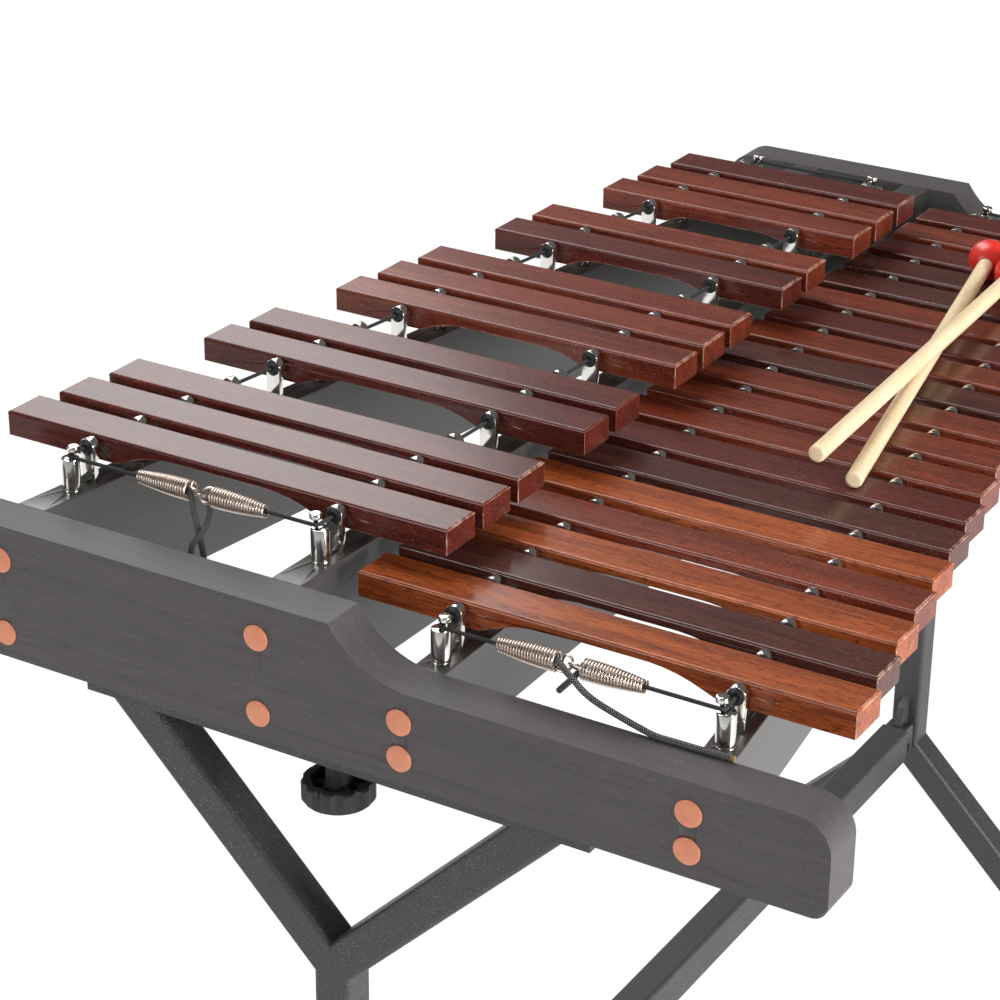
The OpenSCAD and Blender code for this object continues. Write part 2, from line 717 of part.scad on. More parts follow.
module trestle(side) {
    bar_bottom = board_bottom - clamp_bar_thickness;
    post_face = board_x - tube / 2;
    color(black_paint) mirror([side < 0 ? 1 : 0, 0, 0]) {
        translate([board_x, 0, 0]) {
            difference() {
                trestle_tubes(0, foot_cap_base, bar_bottom + weld);
                trestle_tubes(tube_wall, foot_cap_base - eps, bar_bottom);
            }
            difference() {
                translate([-tube / 2, -clamp_bar_length / 2, bar_bottom])
                    cube([tube, clamp_bar_length, clamp_bar_thickness]);
                translate([0, 0, bar_bottom - 1])
                    cylinder(d = knob_screw + 1, h = clamp_bar_thickness + 2);
            }
        }
        translate([0, lug_thickness / 2, 0]) rotate([90, 0, 0]) linear_extrude(lug_thickness) polygon([
            [post_face + 0.5, beam_z - beam_height / 2],
            [post_face - beam_gap + 4, beam_z - beam_height / 2],
            [post_face - beam_gap + 4, beam_z + beam_height / 2],
            [post_face - beam_gap + 12, beam_z + lug_rise - 8],
            [post_face + 0.5, beam_z + lug_rise]
        ]);
        translate([post_face - beam_gap / 2, 0, beam_z]) rotate([90, 0, 0])
            cylinder(d = lug_pin, h = tube - 2 * tube_wall - 2, center = true);
    }
}

module low_trestle() {
    trestle(-1);
}

module high_trestle() {
    trestle(1);
}

// Stretcher beam between the trestles, with hook plates that drop over the lugs' pins
module stretcher_beam() {
    end_x = board_x - tube / 2 - beam_gap;
    plate = (tube - 2 * tube_wall - lug_thickness) / 2 - 2 * slip - 1;
    plate_y = lug_thickness / 2 + slip;
    color(black_paint) {
        translate([0, 0, beam_z]) rotate([0, 90, 0]) difference() {
            linear_extrude(2 * end_x, center = true) beam_section(0);
            linear_extrude(2 * end_x + 2, center = true) beam_section(tube_wall);
        }
        for (side = [-1, 1], y_side = [-1, 1]) translate([side * end_x, y_side * plate_y, beam_z])
            mirror([side < 0 ? 1 : 0, 0, 0]) mirror([0, y_side < 0 ? 1 : 0, 0]) hook_plate(plate);
    }
}

module beam_section(inset) {
    half_h = beam_height / 2 - inset;
    half_w = tube / 2 - inset;
    r = tube_corner - inset;
    square([2 * half_h, 2 * (half_w - r)], center = true);
    square([2 * (half_h - r), 2 * half_w], center = true);
    for (i = [-1, 1], j = [-1, 1]) translate([i * (half_h - r), j * (half_w - r)]) circle(r);
}

// A plate welded into the beam's end, with an open slot that sits on the pin
module hook_plate(thickness) {
    high = beam_height - 2 * tube_wall;
    reach = beam_gap - 3;
    slot = lug_pin + slip;
    translate([0, thickness, 0]) rotate([90, 0, 0]) linear_extrude(thickness) difference() {
        union() {
            translate([-40, -high / 2]) square([40 + reach - 5, high]);
            translate([reach - 5, -high / 2]) square([5, high - 5]);
            translate([reach - 5, high / 2 - 5]) circle(5);
        }
        translate([beam_gap / 2, 0]) circle(d = slot);
        translate([beam_gap / 2 - slot / 2, -high]) square([slot, high]);
    }
}

// Rubber caps on the four feet, cut level with the floor
module foot_caps() {
    color(rubber) for (end = [-1, 1], side = [-1, 1]) translate([end * board_x, 0, 0]) difference() {
        intersection() {
            translate([0, side * foot_spread, 0]) rotate([45 * side, 0, 0])
                linear_extrude(2 * foot_cap_length, center = true) tube_section(-foot_cap_wall);
            translate([-tube, side > 0 ? 0 : -2 * foot_spread, 0]) cube([2 * tube, 2 * foot_spread, foot_cap_length]);
        }
        intersection() {
            translate([0, side * foot_spread, 0]) rotate([45 * side, 0, 0])
                linear_extrude(4 * foot_cap_length, center = true) tube_section(-seat);
            translate([-tube, -2 * foot_spread, foot_cap_base])
                cube([2 * tube, 4 * foot_spread, 2 * foot_cap_length]);
        }
    }
}

// Clamp knobs under the end boards, each moulded round its screw
module knob() {
    rim_r = knob_d / 2;
    hollow_r = 8;
    cavity_r = rim_r - 6;
    floor_t = 5;
    screw_top = knob_height + knob_hub_rise + clamp_bar_thickness + knob_screw_bite;
    difference() {
        rotate_extrude($fn = 96) polygon([
            [0, 0], [rim_r - 2, 0], [rim_r, 2], [rim_r, knob_height - 1.5], [rim_r - 1.5, knob_height],
            [0, knob_height]
        ]);
        for (i = [0:knob_grips - 1]) rotate([0, 0, 360 * i / knob_grips])
            translate([rim_r + hollow_r - 1.8, 0, -1]) cylinder(r = hollow_r, h = knob_height + 2);
        translate([0, 0, floor_t]) rotate([0, 0, 22.5]) cylinder(r = cavity_r, h = knob_height, $fn = 8);
    }
    for (i = [0:3]) rotate([0, 0, 45 * i + 22.5])
        translate([-cavity_r, -0.9, floor_t - 1]) cube([2 * cavity_r, 1.8, knob_height - floor_t - 2]);
    rotate_extrude() polygon([
        [0, 1], [11, 1], [10, knob_height - 2], [8, knob_height + knob_hub_rise - 3],
        [8, knob_height + knob_hub_rise], [0, knob_height + knob_hub_rise]
    ]);
    translate([0, 0, knob_height]) cylinder(d = knob_screw, h = screw_top - knob_height);
}

module knob_at(side) {
    base_z = board_bottom - clamp_bar_thickness - knob_height - knob_hub_rise;
    color(rubber) translate([side * board_x, 0, base_z]) rotate([0, 0, side < 0 ? 180 : 0]) knob();
}

module low_knob() {
    knob_at(-1);
}

module high_knob() {
    knob_at(1);
}

// Two mallets laid on the natural bars, the left one across the right one
left_ball = [290.4, -160];
left_heading = 4.18;
right_ball = [312.4, -126.6];
right_heading = 10.45;
ball_z = natural_top + bar_top + ball_d / 2 + slip;
left_way = [cos(left_heading), sin(left_heading)];
right_way = [cos(right_heading), sin(right_heading)];
left_to_crossing = cross(left_ball - right_ball, right_way) / cross(left_way, right_way);
right_to_crossing = cross(left_ball - right_ball, left_way) / cross(left_way, right_way);
right_tilt = -asin((ball_d - stick_d) / 2 / (mallet_length - stick_d / 2));
// How high the left stick's middle passes over the right one's, as the two lines are skew
spread = sin(right_heading - left_heading);
lean = (stick_d + slip) / left_to_crossing;
crossing_rise = (stick_d + slip) * spread / sqrt(spread * spread - lean * lean);
left_tilt = asin((crossing_rise + right_to_crossing * sin(right_tilt)) / left_to_crossing);
mallet_balls = [left_ball, right_ball];
mallet_turns = [[left_heading, left_tilt], [right_heading, right_tilt]];

module on_mallet(i) {
    translate([mallet_balls[i][0], mallet_balls[i][1], ball_z])
        rotate([0, 0, mallet_turns[i][0]]) rotate([0, mallet_turns[i][1], 0]) children();
}

module mallet_stick(i) {
    color(birch) on_mallet(i) rotate([0, -90, 0]) {
        translate([0, 0, ball_d / 2 - ball_bore + seat])
            cylinder(d = stick_d, h = mallet_length - stick_d / 2 - ball_d / 2 + ball_bore - seat);
        translate([0, 0, mallet_length - stick_d / 2]) sphere(d = stick_d);
    }
}

module mallet_head(i) {
    color(red) on_mallet(i) rotate([0, -90, 0]) difference() {
        sphere(d = ball_d);
        translate([0, 0, ball_d / 2 - ball_bore]) cylinder(d = stick_d + seat, h = ball_d);
    }
}

for (i = [0:len(natural_names) - 1]) natural_bar(i);
for (i = [0:len(accidental_names) - 1]) accidental_bar(i);
for (k = [0:3]) rail(k);
for (k = [0:3]) posts(k);
low_end_board();
high_end_board();
grommets();
cord_studs();
rail_screws();
screw_caps();
bar_cords();
tension_springs();
natural_cord_tails();
accidental_cord_tails();
low_trestle();
high_trestle();
stretcher_beam();
foot_caps();
low_knob();
high_knob();
mallet_stick(0);  // left_mallet_stick
mallet_head(0);  // left_mallet_head
mallet_stick(1);  // right_mallet_stick
mallet_head(1);  // right_mallet_head
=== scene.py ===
# %% [markdown]
# # A chromatic xylophone, dressed for its portrait
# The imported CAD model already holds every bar, rail, post and tube in its place, in metres, with
# +X along the keyboard and +Z up. This lesson only adds what light sees: rosewood under lacquer,
# nickel, braided cord, black paint. Where a CAD solid is too plain, a finer piece is laid exactly
# over it and takes its place.
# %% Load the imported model
import json
import math
from functools import partial
import bmesh
import bpy
from mathutils import Matrix, Vector

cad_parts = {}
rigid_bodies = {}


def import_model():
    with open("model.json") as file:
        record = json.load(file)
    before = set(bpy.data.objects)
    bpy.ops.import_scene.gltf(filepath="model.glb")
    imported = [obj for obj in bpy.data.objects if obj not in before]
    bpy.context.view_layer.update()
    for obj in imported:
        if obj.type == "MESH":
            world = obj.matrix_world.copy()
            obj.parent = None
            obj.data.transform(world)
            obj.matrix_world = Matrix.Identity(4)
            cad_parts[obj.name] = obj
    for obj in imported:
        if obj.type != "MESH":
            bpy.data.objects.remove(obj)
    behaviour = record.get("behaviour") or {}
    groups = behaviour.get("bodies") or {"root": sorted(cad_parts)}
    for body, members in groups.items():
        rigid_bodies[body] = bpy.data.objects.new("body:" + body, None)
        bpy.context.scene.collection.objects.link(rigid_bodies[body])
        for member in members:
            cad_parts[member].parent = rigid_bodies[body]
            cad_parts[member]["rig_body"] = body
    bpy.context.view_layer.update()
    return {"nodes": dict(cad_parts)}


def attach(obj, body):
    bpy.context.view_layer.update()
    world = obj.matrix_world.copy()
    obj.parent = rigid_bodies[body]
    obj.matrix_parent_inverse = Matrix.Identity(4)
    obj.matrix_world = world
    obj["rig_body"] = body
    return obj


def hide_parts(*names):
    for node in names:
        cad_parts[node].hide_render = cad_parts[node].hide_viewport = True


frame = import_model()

MM = 0.001
scene = bpy.context.scene

# %% [markdown]
# ## The camera
# A photograph fixes seven numbers: where the lens was, which way it looked, how far it leaned and
# how long it was. They were fitted to some fifty corners of the keyboard. A long lens from nearly
# three metres explains why the far bars are hardly smaller than the near ones.
# %% Camera
lens_place = Vector((-1.9295, -0.9719, 1.7409))
azimuth, elevation, lean = math.radians(31.063), math.radians(-25.036), math.radians(0.506)
SENSOR, LENS_PER_SENSOR = 36, 2.812
gaze = Vector((math.cos(azimuth), math.sin(azimuth), math.tan(elevation))).normalized()
level = gaze.cross(Vector((0, 0, 1))).normalized()
above = level.cross(gaze)
right = math.cos(lean) * level + math.sin(lean) * above
up = math.cos(lean) * above - math.sin(lean) * level
camera = bpy.data.objects.new("camera", bpy.data.cameras.new("camera"))
camera.data.sensor_width = SENSOR
camera.data.lens = SENSOR * LENS_PER_SENSOR
camera.data.clip_end = 100
camera.matrix_world = Matrix((
    (right.x, up.x, -gaze.x, lens_place.x), (right.y, up.y, -gaze.y, lens_place.y),
    (right.z, up.z, -gaze.z, lens_place.z), (0, 0, 0, 1),
))
scene.collection.objects.link(camera)
scene.camera = camera
print("lens", round(camera.data.lens, 1), "mm")

# %% [markdown]
# ## Small tools for materials
# A node tree is easier to read when it is built from three verbs: start a tree, add a node, wire
# two sockets. Groups are made with the same verbs and get named sockets, so that each finish can
# use them with its own values.
# %% Helpers for node trees
def add(tree, kind, **values):
    node = tree.nodes.new(kind)
    for key, value in values.items():
        if key in node.bl_rna.properties:
            setattr(node, key, value)
        else:
            node.inputs[key.replace("_", " ")].default_value = value
    return node


def wire(tree, *pairs):
    for source, target in pairs:
        tree.links.new(source, target)


def sums(tree, operation, first, second=None, third=None, clamp=False):
    node = tree.nodes.new("ShaderNodeMath")
    node.operation = operation
    node.use_clamp = clamp
    for socket, value in zip(node.inputs, (first, second, third)):
        if isinstance(value, (int, float)):
            socket.default_value = value
        elif value is not None:
            tree.links.new(value, socket)
    return node.outputs[0]


def ramp(tree, source, *stops):
    node = tree.nodes.new("ShaderNodeValToRGB")
    node.color_ramp.interpolation = "EASE"
    elements = node.color_ramp.elements
    while len(elements) < len(stops):
        elements.new(0.5)
    for element, (place, colour) in zip(elements, stops):
        element.position = place
        element.color = (colour, colour, colour, 1) if isinstance(colour, (int, float)) else (*colour, 1)
    tree.links.new(source, node.inputs[0])
    return node.outputs[0]


def blend(tree, share, first, second):
    node = tree.nodes.new("ShaderNodeMix")
    node.data_type = "RGBA"
    for socket, value in ((node.inputs[0], share), (node.inputs[6], first), (node.inputs[7], second)):
        if isinstance(value, (int, float)):
            socket.default_value = value
        elif isinstance(value, tuple):
            socket.default_value = (*value, 1)
        else:
            tree.links.new(value, socket)
    return node.outputs[2]


def group_tree(name, takes, gives):
    tree = bpy.data.node_groups.new(name, "ShaderNodeTree")
    for label, default in takes.items():
        kind = "NodeSocketFloat" if isinstance(default, float) else "NodeSocketVector"
        tree.interface.new_socket(label, in_out="INPUT", socket_type=kind).default_value = default
    for label in gives:
        tree.interface.new_socket(label, in_out="OUTPUT", socket_type="NodeSocketFloat")
    print("group", name, "takes", ", ".join(takes), "and gives", ", ".join(gives))
    return tree, tree.nodes.new("NodeGroupInput").outputs, tree.nodes.new("NodeGroupOutput").inputs


def use(tree, group, **values):
    node = tree.nodes.new("ShaderNodeGroup")
    node.node_tree = group
    for key, value in values.items():
        socket = node.inputs[key.replace("_", " ")]
        if isinstance(value, bpy.types.NodeSocket):
            tree.links.new(value, socket)
        else:
            socket.default_value = value
    return node.outputs


def finish(name, **values):
    material = bpy.data.materials.new(name)
    material.use_nodes = True
    tree = material.node_tree
    tree.nodes.clear()
    shader = tree.nodes.new("ShaderNodeBsdfPrincipled")
    for key, value in values.items():
        shader.inputs[key.replace("_", " ")].default_value = value
    wire(tree, (shader.outputs[0], tree.nodes.new("ShaderNodeOutputMaterial").inputs[0]))
    return material, tree, shader.inputs


def bump(tree, height, strength, distance, target):
    node = add(tree, "ShaderNodeBump", Strength=strength, Distance=distance)
    wire(tree, (height, node.inputs["Height"]), (node.outputs[0], target))


def place_of(tree, shift=(0, 0, 0), turn=(0, 0, 0)):
    mapping = add(tree, "ShaderNodeMapping", Location=shift, Rotation=turn)
    wire(tree, (tree.nodes.new("ShaderNodeTexCoord").outputs["Object"], mapping.inputs[0]))
    return mapping.outputs[0]


def noise_at(tree, place, **values):
    node = add(tree, "ShaderNodeTexNoise", **values)
    wire(tree, (place, node.inputs["Vector"]))
    return node.outputs[0]


# %% [markdown]
# ## Effects that several finishes share
# **Wood grain** is noise that has been pulled long in one direction. Two octaves of it make the
# broad figure and the fibres, and a third, cut off hard, makes the open pores of a tropical wood.
# The pull is along Y here, and each material turns its own coordinates to suit.
# %% Group: wood grain
WOOD_GRAIN, takes, gives = group_tree(
    "wood grain", {"Place": (0, 0, 0), "Figure": 1.0, "Fibre": 1.0, "Pores": 0.5},
    ("Tone", "Pore mask", "Height"))
calc = partial(sums, WOOD_GRAIN)


def pulled_noise(tree, place, across, along, detail, rough=0.5, warp=0.0):
    pulled = add(tree, "ShaderNodeMapping", Scale=(across, along, across))
    wire(tree, (place, pulled.inputs[0]))
    return noise_at(tree, pulled.outputs[0], Scale=1.0, Detail=detail, Roughness=rough, Distortion=warp)


figure = pulled_noise(WOOD_GRAIN, takes["Place"], 55, 5, 3, 0.55, 0.6)
bands = calc("SINE", calc("MULTIPLY", figure, 38.0))
fibre = pulled_noise(WOOD_GRAIN, takes["Place"], 420, 9, 4, 0.6)
pore = ramp(WOOD_GRAIN, pulled_noise(WOOD_GRAIN, takes["Place"], 1300, 110, 1, 0.4), (0.60, 0.0), (0.65, 1.0))
tone = calc("MULTIPLY_ADD", bands, 0.10, 0.5)
figure_swing = calc("SUBTRACT", figure, 0.5)
fibre_swing = calc("SUBTRACT", fibre, 0.5)
tone = calc("MULTIPLY_ADD", figure_swing, takes["Figure"], tone)
tone = calc("MULTIPLY_ADD", fibre_swing, takes["Fibre"], tone, clamp=True)
pore_mask = calc("MULTIPLY", pore, takes["Pores"])
height = calc("MULTIPLY_ADD", pore_mask, -1.0, fibre)
wire(WOOD_GRAIN, (tone, gives["Tone"]), (pore_mask, gives["Pore mask"]), (height, gives["Height"]))

# %% [markdown]
# **Dust** is the fine pale fleck that lies in lacquer and on black paint. It is a noise so small
# that only its peaks are kept.
# %% Group: dust
DUST, takes, gives = group_tree("dust", {"Place": (0, 0, 0), "Size": 900.0, "Amount": 0.5}, ("Fleck",))
calc = partial(sums, DUST)
fine = noise_at(DUST, takes["Place"], Detail=1.0, Roughness=0.6)
wire(DUST, (takes["Size"], fine.node.inputs["Scale"]))
peaks = ramp(DUST, fine, (0.66, 0.0), (0.70, 1.0))
haze = ramp(DUST, noise_at(DUST, takes["Place"], Scale=14.0, Detail=3.0), (0.35, 0.15), (0.65, 1.0))
fleck = calc("MULTIPLY", calc("MULTIPLY", peaks, haze), takes["Amount"])
wire(DUST, (fleck, gives["Fleck"]))

# %% [markdown]
# **Edge wear** shows where hands and other boxes have rubbed a corner. The meshes below carry an
# attribute called wear, which is 1 on every narrow face that a bevel made, so the group only has
# to break that line up with noise.
# On the bars the same pale line is partly wear and partly a painted highlight.
# %% Group: edge wear
EDGE_WEAR, takes, gives = group_tree("edge wear", {"Place": (0, 0, 0), "Amount": 0.6}, ("Mask",))
calc = partial(sums, EDGE_WEAR)
worn = add(EDGE_WEAR, "ShaderNodeAttribute", attribute_name="wear")
patchy = noise_at(EDGE_WEAR, takes["Place"], Scale=120.0, Detail=3.0, Roughness=0.7)
broken = ramp(EDGE_WEAR, patchy, (0.38, 0.15), (0.62, 1.0))
mask = calc("MULTIPLY", calc("MULTIPLY", worn.outputs["Fac"], broken), takes["Amount"])
wire(EDGE_WEAR, (mask, gives["Mask"]))

# %% [markdown]
# **Braid** wraps two families of strands round a cord, one to the left and one to the right. The
# tube meshes carry an attribute called wrap: the cosine and sine of the angle round the cord, and
# the distance along it. An angle kept that way has no seam.
# %% Group: braid
BRAID, takes, gives = group_tree(
    "braid", {"Strands": 4.0, "Pitch": 0.009, "Tracer": 1.0}, ("Height", "Tracer mask"))
calc = partial(sums, BRAID)
wrap = add(BRAID, "ShaderNodeAttribute", attribute_name="wrap")
parts = BRAID.nodes.new("ShaderNodeSeparateXYZ")
wire(BRAID, (wrap.outputs["Vector"], parts.inputs[0]))
angle = calc("DIVIDE", calc("ARCTAN2", parts.outputs[1], parts.outputs[0]), 2 * math.pi)
turns = calc("DIVIDE", parts.outputs[2], takes["Pitch"])


def wave(strand):
    return sums(BRAID, "SINE", sums(BRAID, "MULTIPLY", strand, math.pi))


strand_left = calc("MULTIPLY", calc("ADD", turns, angle), takes["Strands"])
strand_right = calc("MULTIPLY", calc("SUBTRACT", turns, angle), takes["Strands"])
ridge_left, ridge_right = (calc("ABSOLUTE", wave(strand)) for strand in (strand_left, strand_right))
over = calc("GREATER_THAN", wave(calc("ADD", strand_left, strand_right)), 0)
woven = add(BRAID, "ShaderNodeMix")
wire(BRAID, (over, woven.inputs[0]), (ridge_left, woven.inputs[2]), (ridge_right, woven.inputs[3]))
CROSSING = 0.74
crossing = calc("GREATER_THAN", calc("MULTIPLY", ridge_left, ridge_right), CROSSING)
tracer = calc("MULTIPLY", crossing, takes["Tracer"])
wire(BRAID, (woven.outputs[0], gives["Height"]), (tracer, gives["Tracer mask"]))

# %% [markdown]
# ## Finishes for metal, rubber and cord
# Nickel is a warm grey mirror, a little rougher where fingers have been. Rubber is nearly black
# and dull. The cord is black nylon, flecked pale where its strands cross, with a brown burnt tip.
# %% Finishes: nickel, spring wire, rubber, cord
SMEAR = 0.08


def metal(name, colour, rough):
    material, tree, shader = finish(name, Base_Color=(*colour, 1), Metallic=1.0)
    smears = noise_at(tree, place_of(tree), Scale=160.0, Detail=4.0)
    wire(tree, (ramp(tree, smears, (0.3, rough), (0.75, rough + SMEAR)), shader["Roughness"]))
    return material


def dull(name, colour, rough, grit=700.0, depth=0.00015, specks=0.0):
    material, tree, shader = finish(name, Roughness=rough, Specular_IOR_Level=0.4)
    place = place_of(tree)
    noise = noise_at(tree, place, Scale=grit, Detail=3.0)
    dust = use(tree, DUST, Place=place, Size=1100.0, Amount=specks)
    lighter, pale = (tuple(c * gain + lift for c in colour) for gain, lift in ((1.35, 0), (2.2, 0.02)))
    body = blend(tree, ramp(tree, noise, (0.35, 0.0), (0.7, 1.0)), colour, lighter)
    wire(tree, (blend(tree, dust["Fleck"], body, pale), shader["Base Color"]))
    bump(tree, noise, 0.35, depth, shader["Normal"])
    return material


def braided(name, strands, pitch, tracer, cut=0.0):
    material, tree, shader = finish(name, Roughness=0.6, Specular_IOR_Level=0.35)
    braid = use(tree, BRAID, Strands=strands, Pitch=pitch, Tracer=tracer)
    body = blend(tree, braid["Height"], (0.008, 0.008, 0.009), (0.035, 0.035, 0.038))
    flecked = blend(tree, braid["Tracer mask"], body, (0.32, 0.31, 0.30))
    share = add(tree, "ShaderNodeAttribute", attribute_name="share")
    tip = sums(tree, "GREATER_THAN", share.outputs["Fac"], 1.0 - cut)
    wire(tree, (blend(tree, tip, flecked, (0.20, 0.13, 0.05)), shader["Base Color"]))
    bump(tree, braid["Height"], 0.8, 0.0004, shader["Normal"])
    return material


NICKEL = metal("nickel", (0.78, 0.76, 0.72), 0.10)
SPRING_WIRE = metal("spring wire", (0.80, 0.68, 0.60), 0.30)
GROMMET_RUBBER = dull("grommet rubber", (0.012, 0.012, 0.013), 0.45)
LOOSE_CORD = braided("loose cord", 5.0, 0.0085, 1.0)
CUT_CORD = braided("cut cord", 5.0, 0.0085, 1.0, cut=0.012)
STRETCHED_CORD = braided("stretched cord", 6.0, 0.007, 0.0)

# %% [markdown]
# ## Tubes along a route
# Cords and springs are all one thing: a circle swept along a path. A bevelled curve would forget
# where round the tube a point is. Curve to Mesh can keep the angle, the distance and the share of
# the length in two attributes, which the braid group reads.
# %% Geometry Nodes: tube along a route
def geometry_tree(name, takes):
    tree = bpy.data.node_groups.new(name, "GeometryNodeTree")
    tree.interface.new_socket("Geometry", in_out="INPUT", socket_type="NodeSocketGeometry")
    names = {}
    for label, kind in takes:
        names[label] = tree.interface.new_socket(label, in_out="INPUT", socket_type=kind).identifier
    tree.interface.new_socket("Geometry", in_out="OUTPUT", socket_type="NodeSocketGeometry")
    return tree, names, tree.nodes.new("NodeGroupInput").outputs, tree.nodes.new("NodeGroupOutput").inputs


TUBE, TUBE_INPUTS, takes, gives = geometry_tree(
    "tube along a route",
    [("Radius", "NodeSocketFloat"), ("Sides", "NodeSocketInt"), ("Finish", "NodeSocketMaterial")],
)
calc = partial(sums, TUBE)
line = add(TUBE, "GeometryNodeMeshToCurve")
along = add(TUBE, "GeometryNodeSplineParameter")
keep_length = add(TUBE, "GeometryNodeCaptureAttribute", domain="POINT")
keep_length.capture_items.new("FLOAT", "Length")
keep_length.capture_items.new("FLOAT", "Share")
circle = add(TUBE, "GeometryNodeCurvePrimitiveCircle")
around = add(TUBE, "GeometryNodeSplineParameter")
keep_angle = add(TUBE, "GeometryNodeCaptureAttribute", domain="POINT")
keep_angle.capture_items.new("FLOAT", "Angle")
sweep = add(TUBE, "GeometryNodeCurveToMesh")
sweep.inputs["Fill Caps"].default_value = True
radians_round = calc("MULTIPLY", keep_angle.outputs[1], 2 * math.pi)
wrapped = add(TUBE, "ShaderNodeCombineXYZ")
store_wrap = add(TUBE, "GeometryNodeStoreNamedAttribute", data_type="FLOAT_VECTOR", domain="POINT")
store_wrap.inputs["Name"].default_value = "wrap"
store_share = add(TUBE, "GeometryNodeStoreNamedAttribute", data_type="FLOAT", domain="POINT")
store_share.inputs["Name"].default_value = "share"
smooth = add(TUBE, "GeometryNodeSetShadeSmooth")
realize = add(TUBE, "GeometryNodeRealizeInstances")
paint = add(TUBE, "GeometryNodeSetMaterial")
for part, turn in enumerate(("COSINE", "SINE")):
    wire(TUBE, (calc(turn, radians_round), wrapped.inputs[part]))
wire(
    TUBE, (takes["Geometry"], line.inputs[0]), (line.outputs[0], keep_length.inputs[0]),
    (along.outputs["Length"], keep_length.inputs[1]), (along.outputs["Factor"], keep_length.inputs[2]),
    (takes["Sides"], circle.inputs["Resolution"]), (takes["Radius"], circle.inputs["Radius"]),
    (circle.outputs[0], keep_angle.inputs[0]), (around.outputs["Factor"], keep_angle.inputs[1]),
    (keep_length.outputs[0], sweep.inputs[0]), (keep_angle.outputs[0], sweep.inputs[1]),
    (keep_length.outputs[1], wrapped.inputs[2]), (sweep.outputs[0], store_wrap.inputs[0]),
    (wrapped.outputs[0], store_wrap.inputs["Value"]), (store_wrap.outputs[0], store_share.inputs[0]),
    (keep_length.outputs[2], store_share.inputs["Value"]), (store_share.outputs[0], smooth.inputs[0]),
    (smooth.outputs[0], realize.inputs[0]), (realize.outputs[0], paint.inputs[0]),
    (takes["Finish"], paint.inputs["Material"]), (paint.outputs[0], gives[0]),
)


def grown(name, mesh, tree, inputs, **values):
    """Runs a Geometry Nodes tree on a mesh and keeps the result as a plain mesh."""
    piece = bpy.data.objects.new(name, mesh)
    scene.collection.objects.link(piece)
    nodes = piece.modifiers.new("grow", "NODES")
    nodes.node_group = tree
    for label, value in values.items():
        nodes[inputs[label.replace("_", " ")]] = value
    bpy.context.view_layer.update()
    piece.data = bpy.data.meshes.new_from_object(piece.evaluated_get(bpy.context.evaluated_depsgraph_get()))
    piece.data.name = name
    piece.modifiers.clear()
    return piece


def tube(name, routes, radius, sides, material):
    mesh, points, edges = bpy.data.meshes.new(name), [], []
    for route in routes:
        edges += [(len(points) + i, len(points) + i + 1) for i in range(len(route) - 1)]
        points += [tuple(p) for p in route]
    mesh.from_pydata(points, edges, [])
    return grown(name, mesh, TUBE, TUBE_INPUTS, Radius=radius, Sides=sides, Finish=material)


def belongs(piece, body, slot, *nodes):
    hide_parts(*nodes)
    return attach(piece, body)


# %% [markdown]
# ## The loose cord tails
# The four tails are the only free cords. Each route is the one
# in the CAD source, rounded off by a spline that still passes through every point.
# %% Cord tails
def smoothed(route, steps=6):
    points = [Vector(p) * MM for p in route]
    ends = [2 * points[0] - points[1], *points, 2 * points[-1] - points[-2]]
    path = []
    for a, b, c, d in zip(ends, ends[1:], ends[2:], ends[3:]):
        for i in range(steps):
            t = i / steps
            path.append(0.5 * (2 * b + (c - a) * t + (2 * a - 5 * b + 4 * c - d) * t * t
                               + (3 * b - a - 3 * c + d) * t ** 3))
    return path + [points[-1]]


def length_of(path):
    return sum((b - a).length for a, b in zip(path, path[1:]))


TAIL_ROUTES = {
    "natural_long_tail": ("natural_cord_tails", [
        (-500.5, -127, 855), (-500.5, -135, 855), (-500.5, -144, 855), (-501, -151, 856),
        (-502.8, -157.5, 857), (-506.5, -163.5, 856.5), (-510, -169, 855), (-512, -175.5, 852),
        (-512.5, -182.5, 846.5), (-512.5, -192.5, 841), (-512.5, -208, 836), (-513, -224, 832),
        (-514, -239, 829.5), (-514, -254, 829.5), (-514, -268, 829.5), (-513.5, -282, 829.5),
        (-513, -296, 829.5)]),
    "natural_short_tail": ("natural_cord_tails", [
        (-500.5, -207, 855), (-500.5, -198, 855), (-500.5, -188, 855), (-500.5, -182, 855),
        (-500.5, -177, 854), (-500, -172.5, 850.5), (-499.5, -168.5, 845.5), (-499, -163, 839),
        (-498.5, -157, 832)]),
    "accidental_left_tail": ("accidental_cord_tails", [
        (-475.5, 193, 891), (-475.5, 184, 891), (-475.5, 175, 891), (-475.5, 169, 891), (-477, 163.5, 889.5),
        (-479, 159.5, 885), (-479.5, 158, 878), (-479, 156.5, 868), (-478, 154.5, 856), (-477, 153, 843),
        (-476.5, 152, 830), (-476.5, 151, 816), (-476.5, 150.5, 802)]),
    "accidental_right_tail": ("accidental_cord_tails", [
        (-475.5, 113, 891), (-475.5, 122, 891), (-475.5, 131, 891), (-475.6, 137.5, 890.9),
        (-475.9, 142.5, 890.3), (-474.9, 146.5, 888.8), (-472.5, 149.3, 885.5), (-471, 150.2, 880.5),
        (-471.3, 150, 875), (-474, 150, 869.5), (-479, 149.5, 865), (-483.5, 151.8, 860),
        (-485.5, 155.5, 854), (-484.5, 158.5, 846), (-484, 160.2, 835), (-483.5, 161.3, 822),
        (-483.5, 161.8, 812), (-483.5, 162, 803)]),
}
TAIL_WIDTH = 4.5 * MM
for name, (node, route) in TAIL_ROUTES.items():
    path = smoothed(route)
    tail = tube(name, [path], TAIL_WIDTH / 2, 16, CUT_CORD if name == "natural_long_tail" else LOOSE_CORD)
    belongs(tail, "instrument", "cord", node)
    print(name, round(length_of(path), 4), "m")

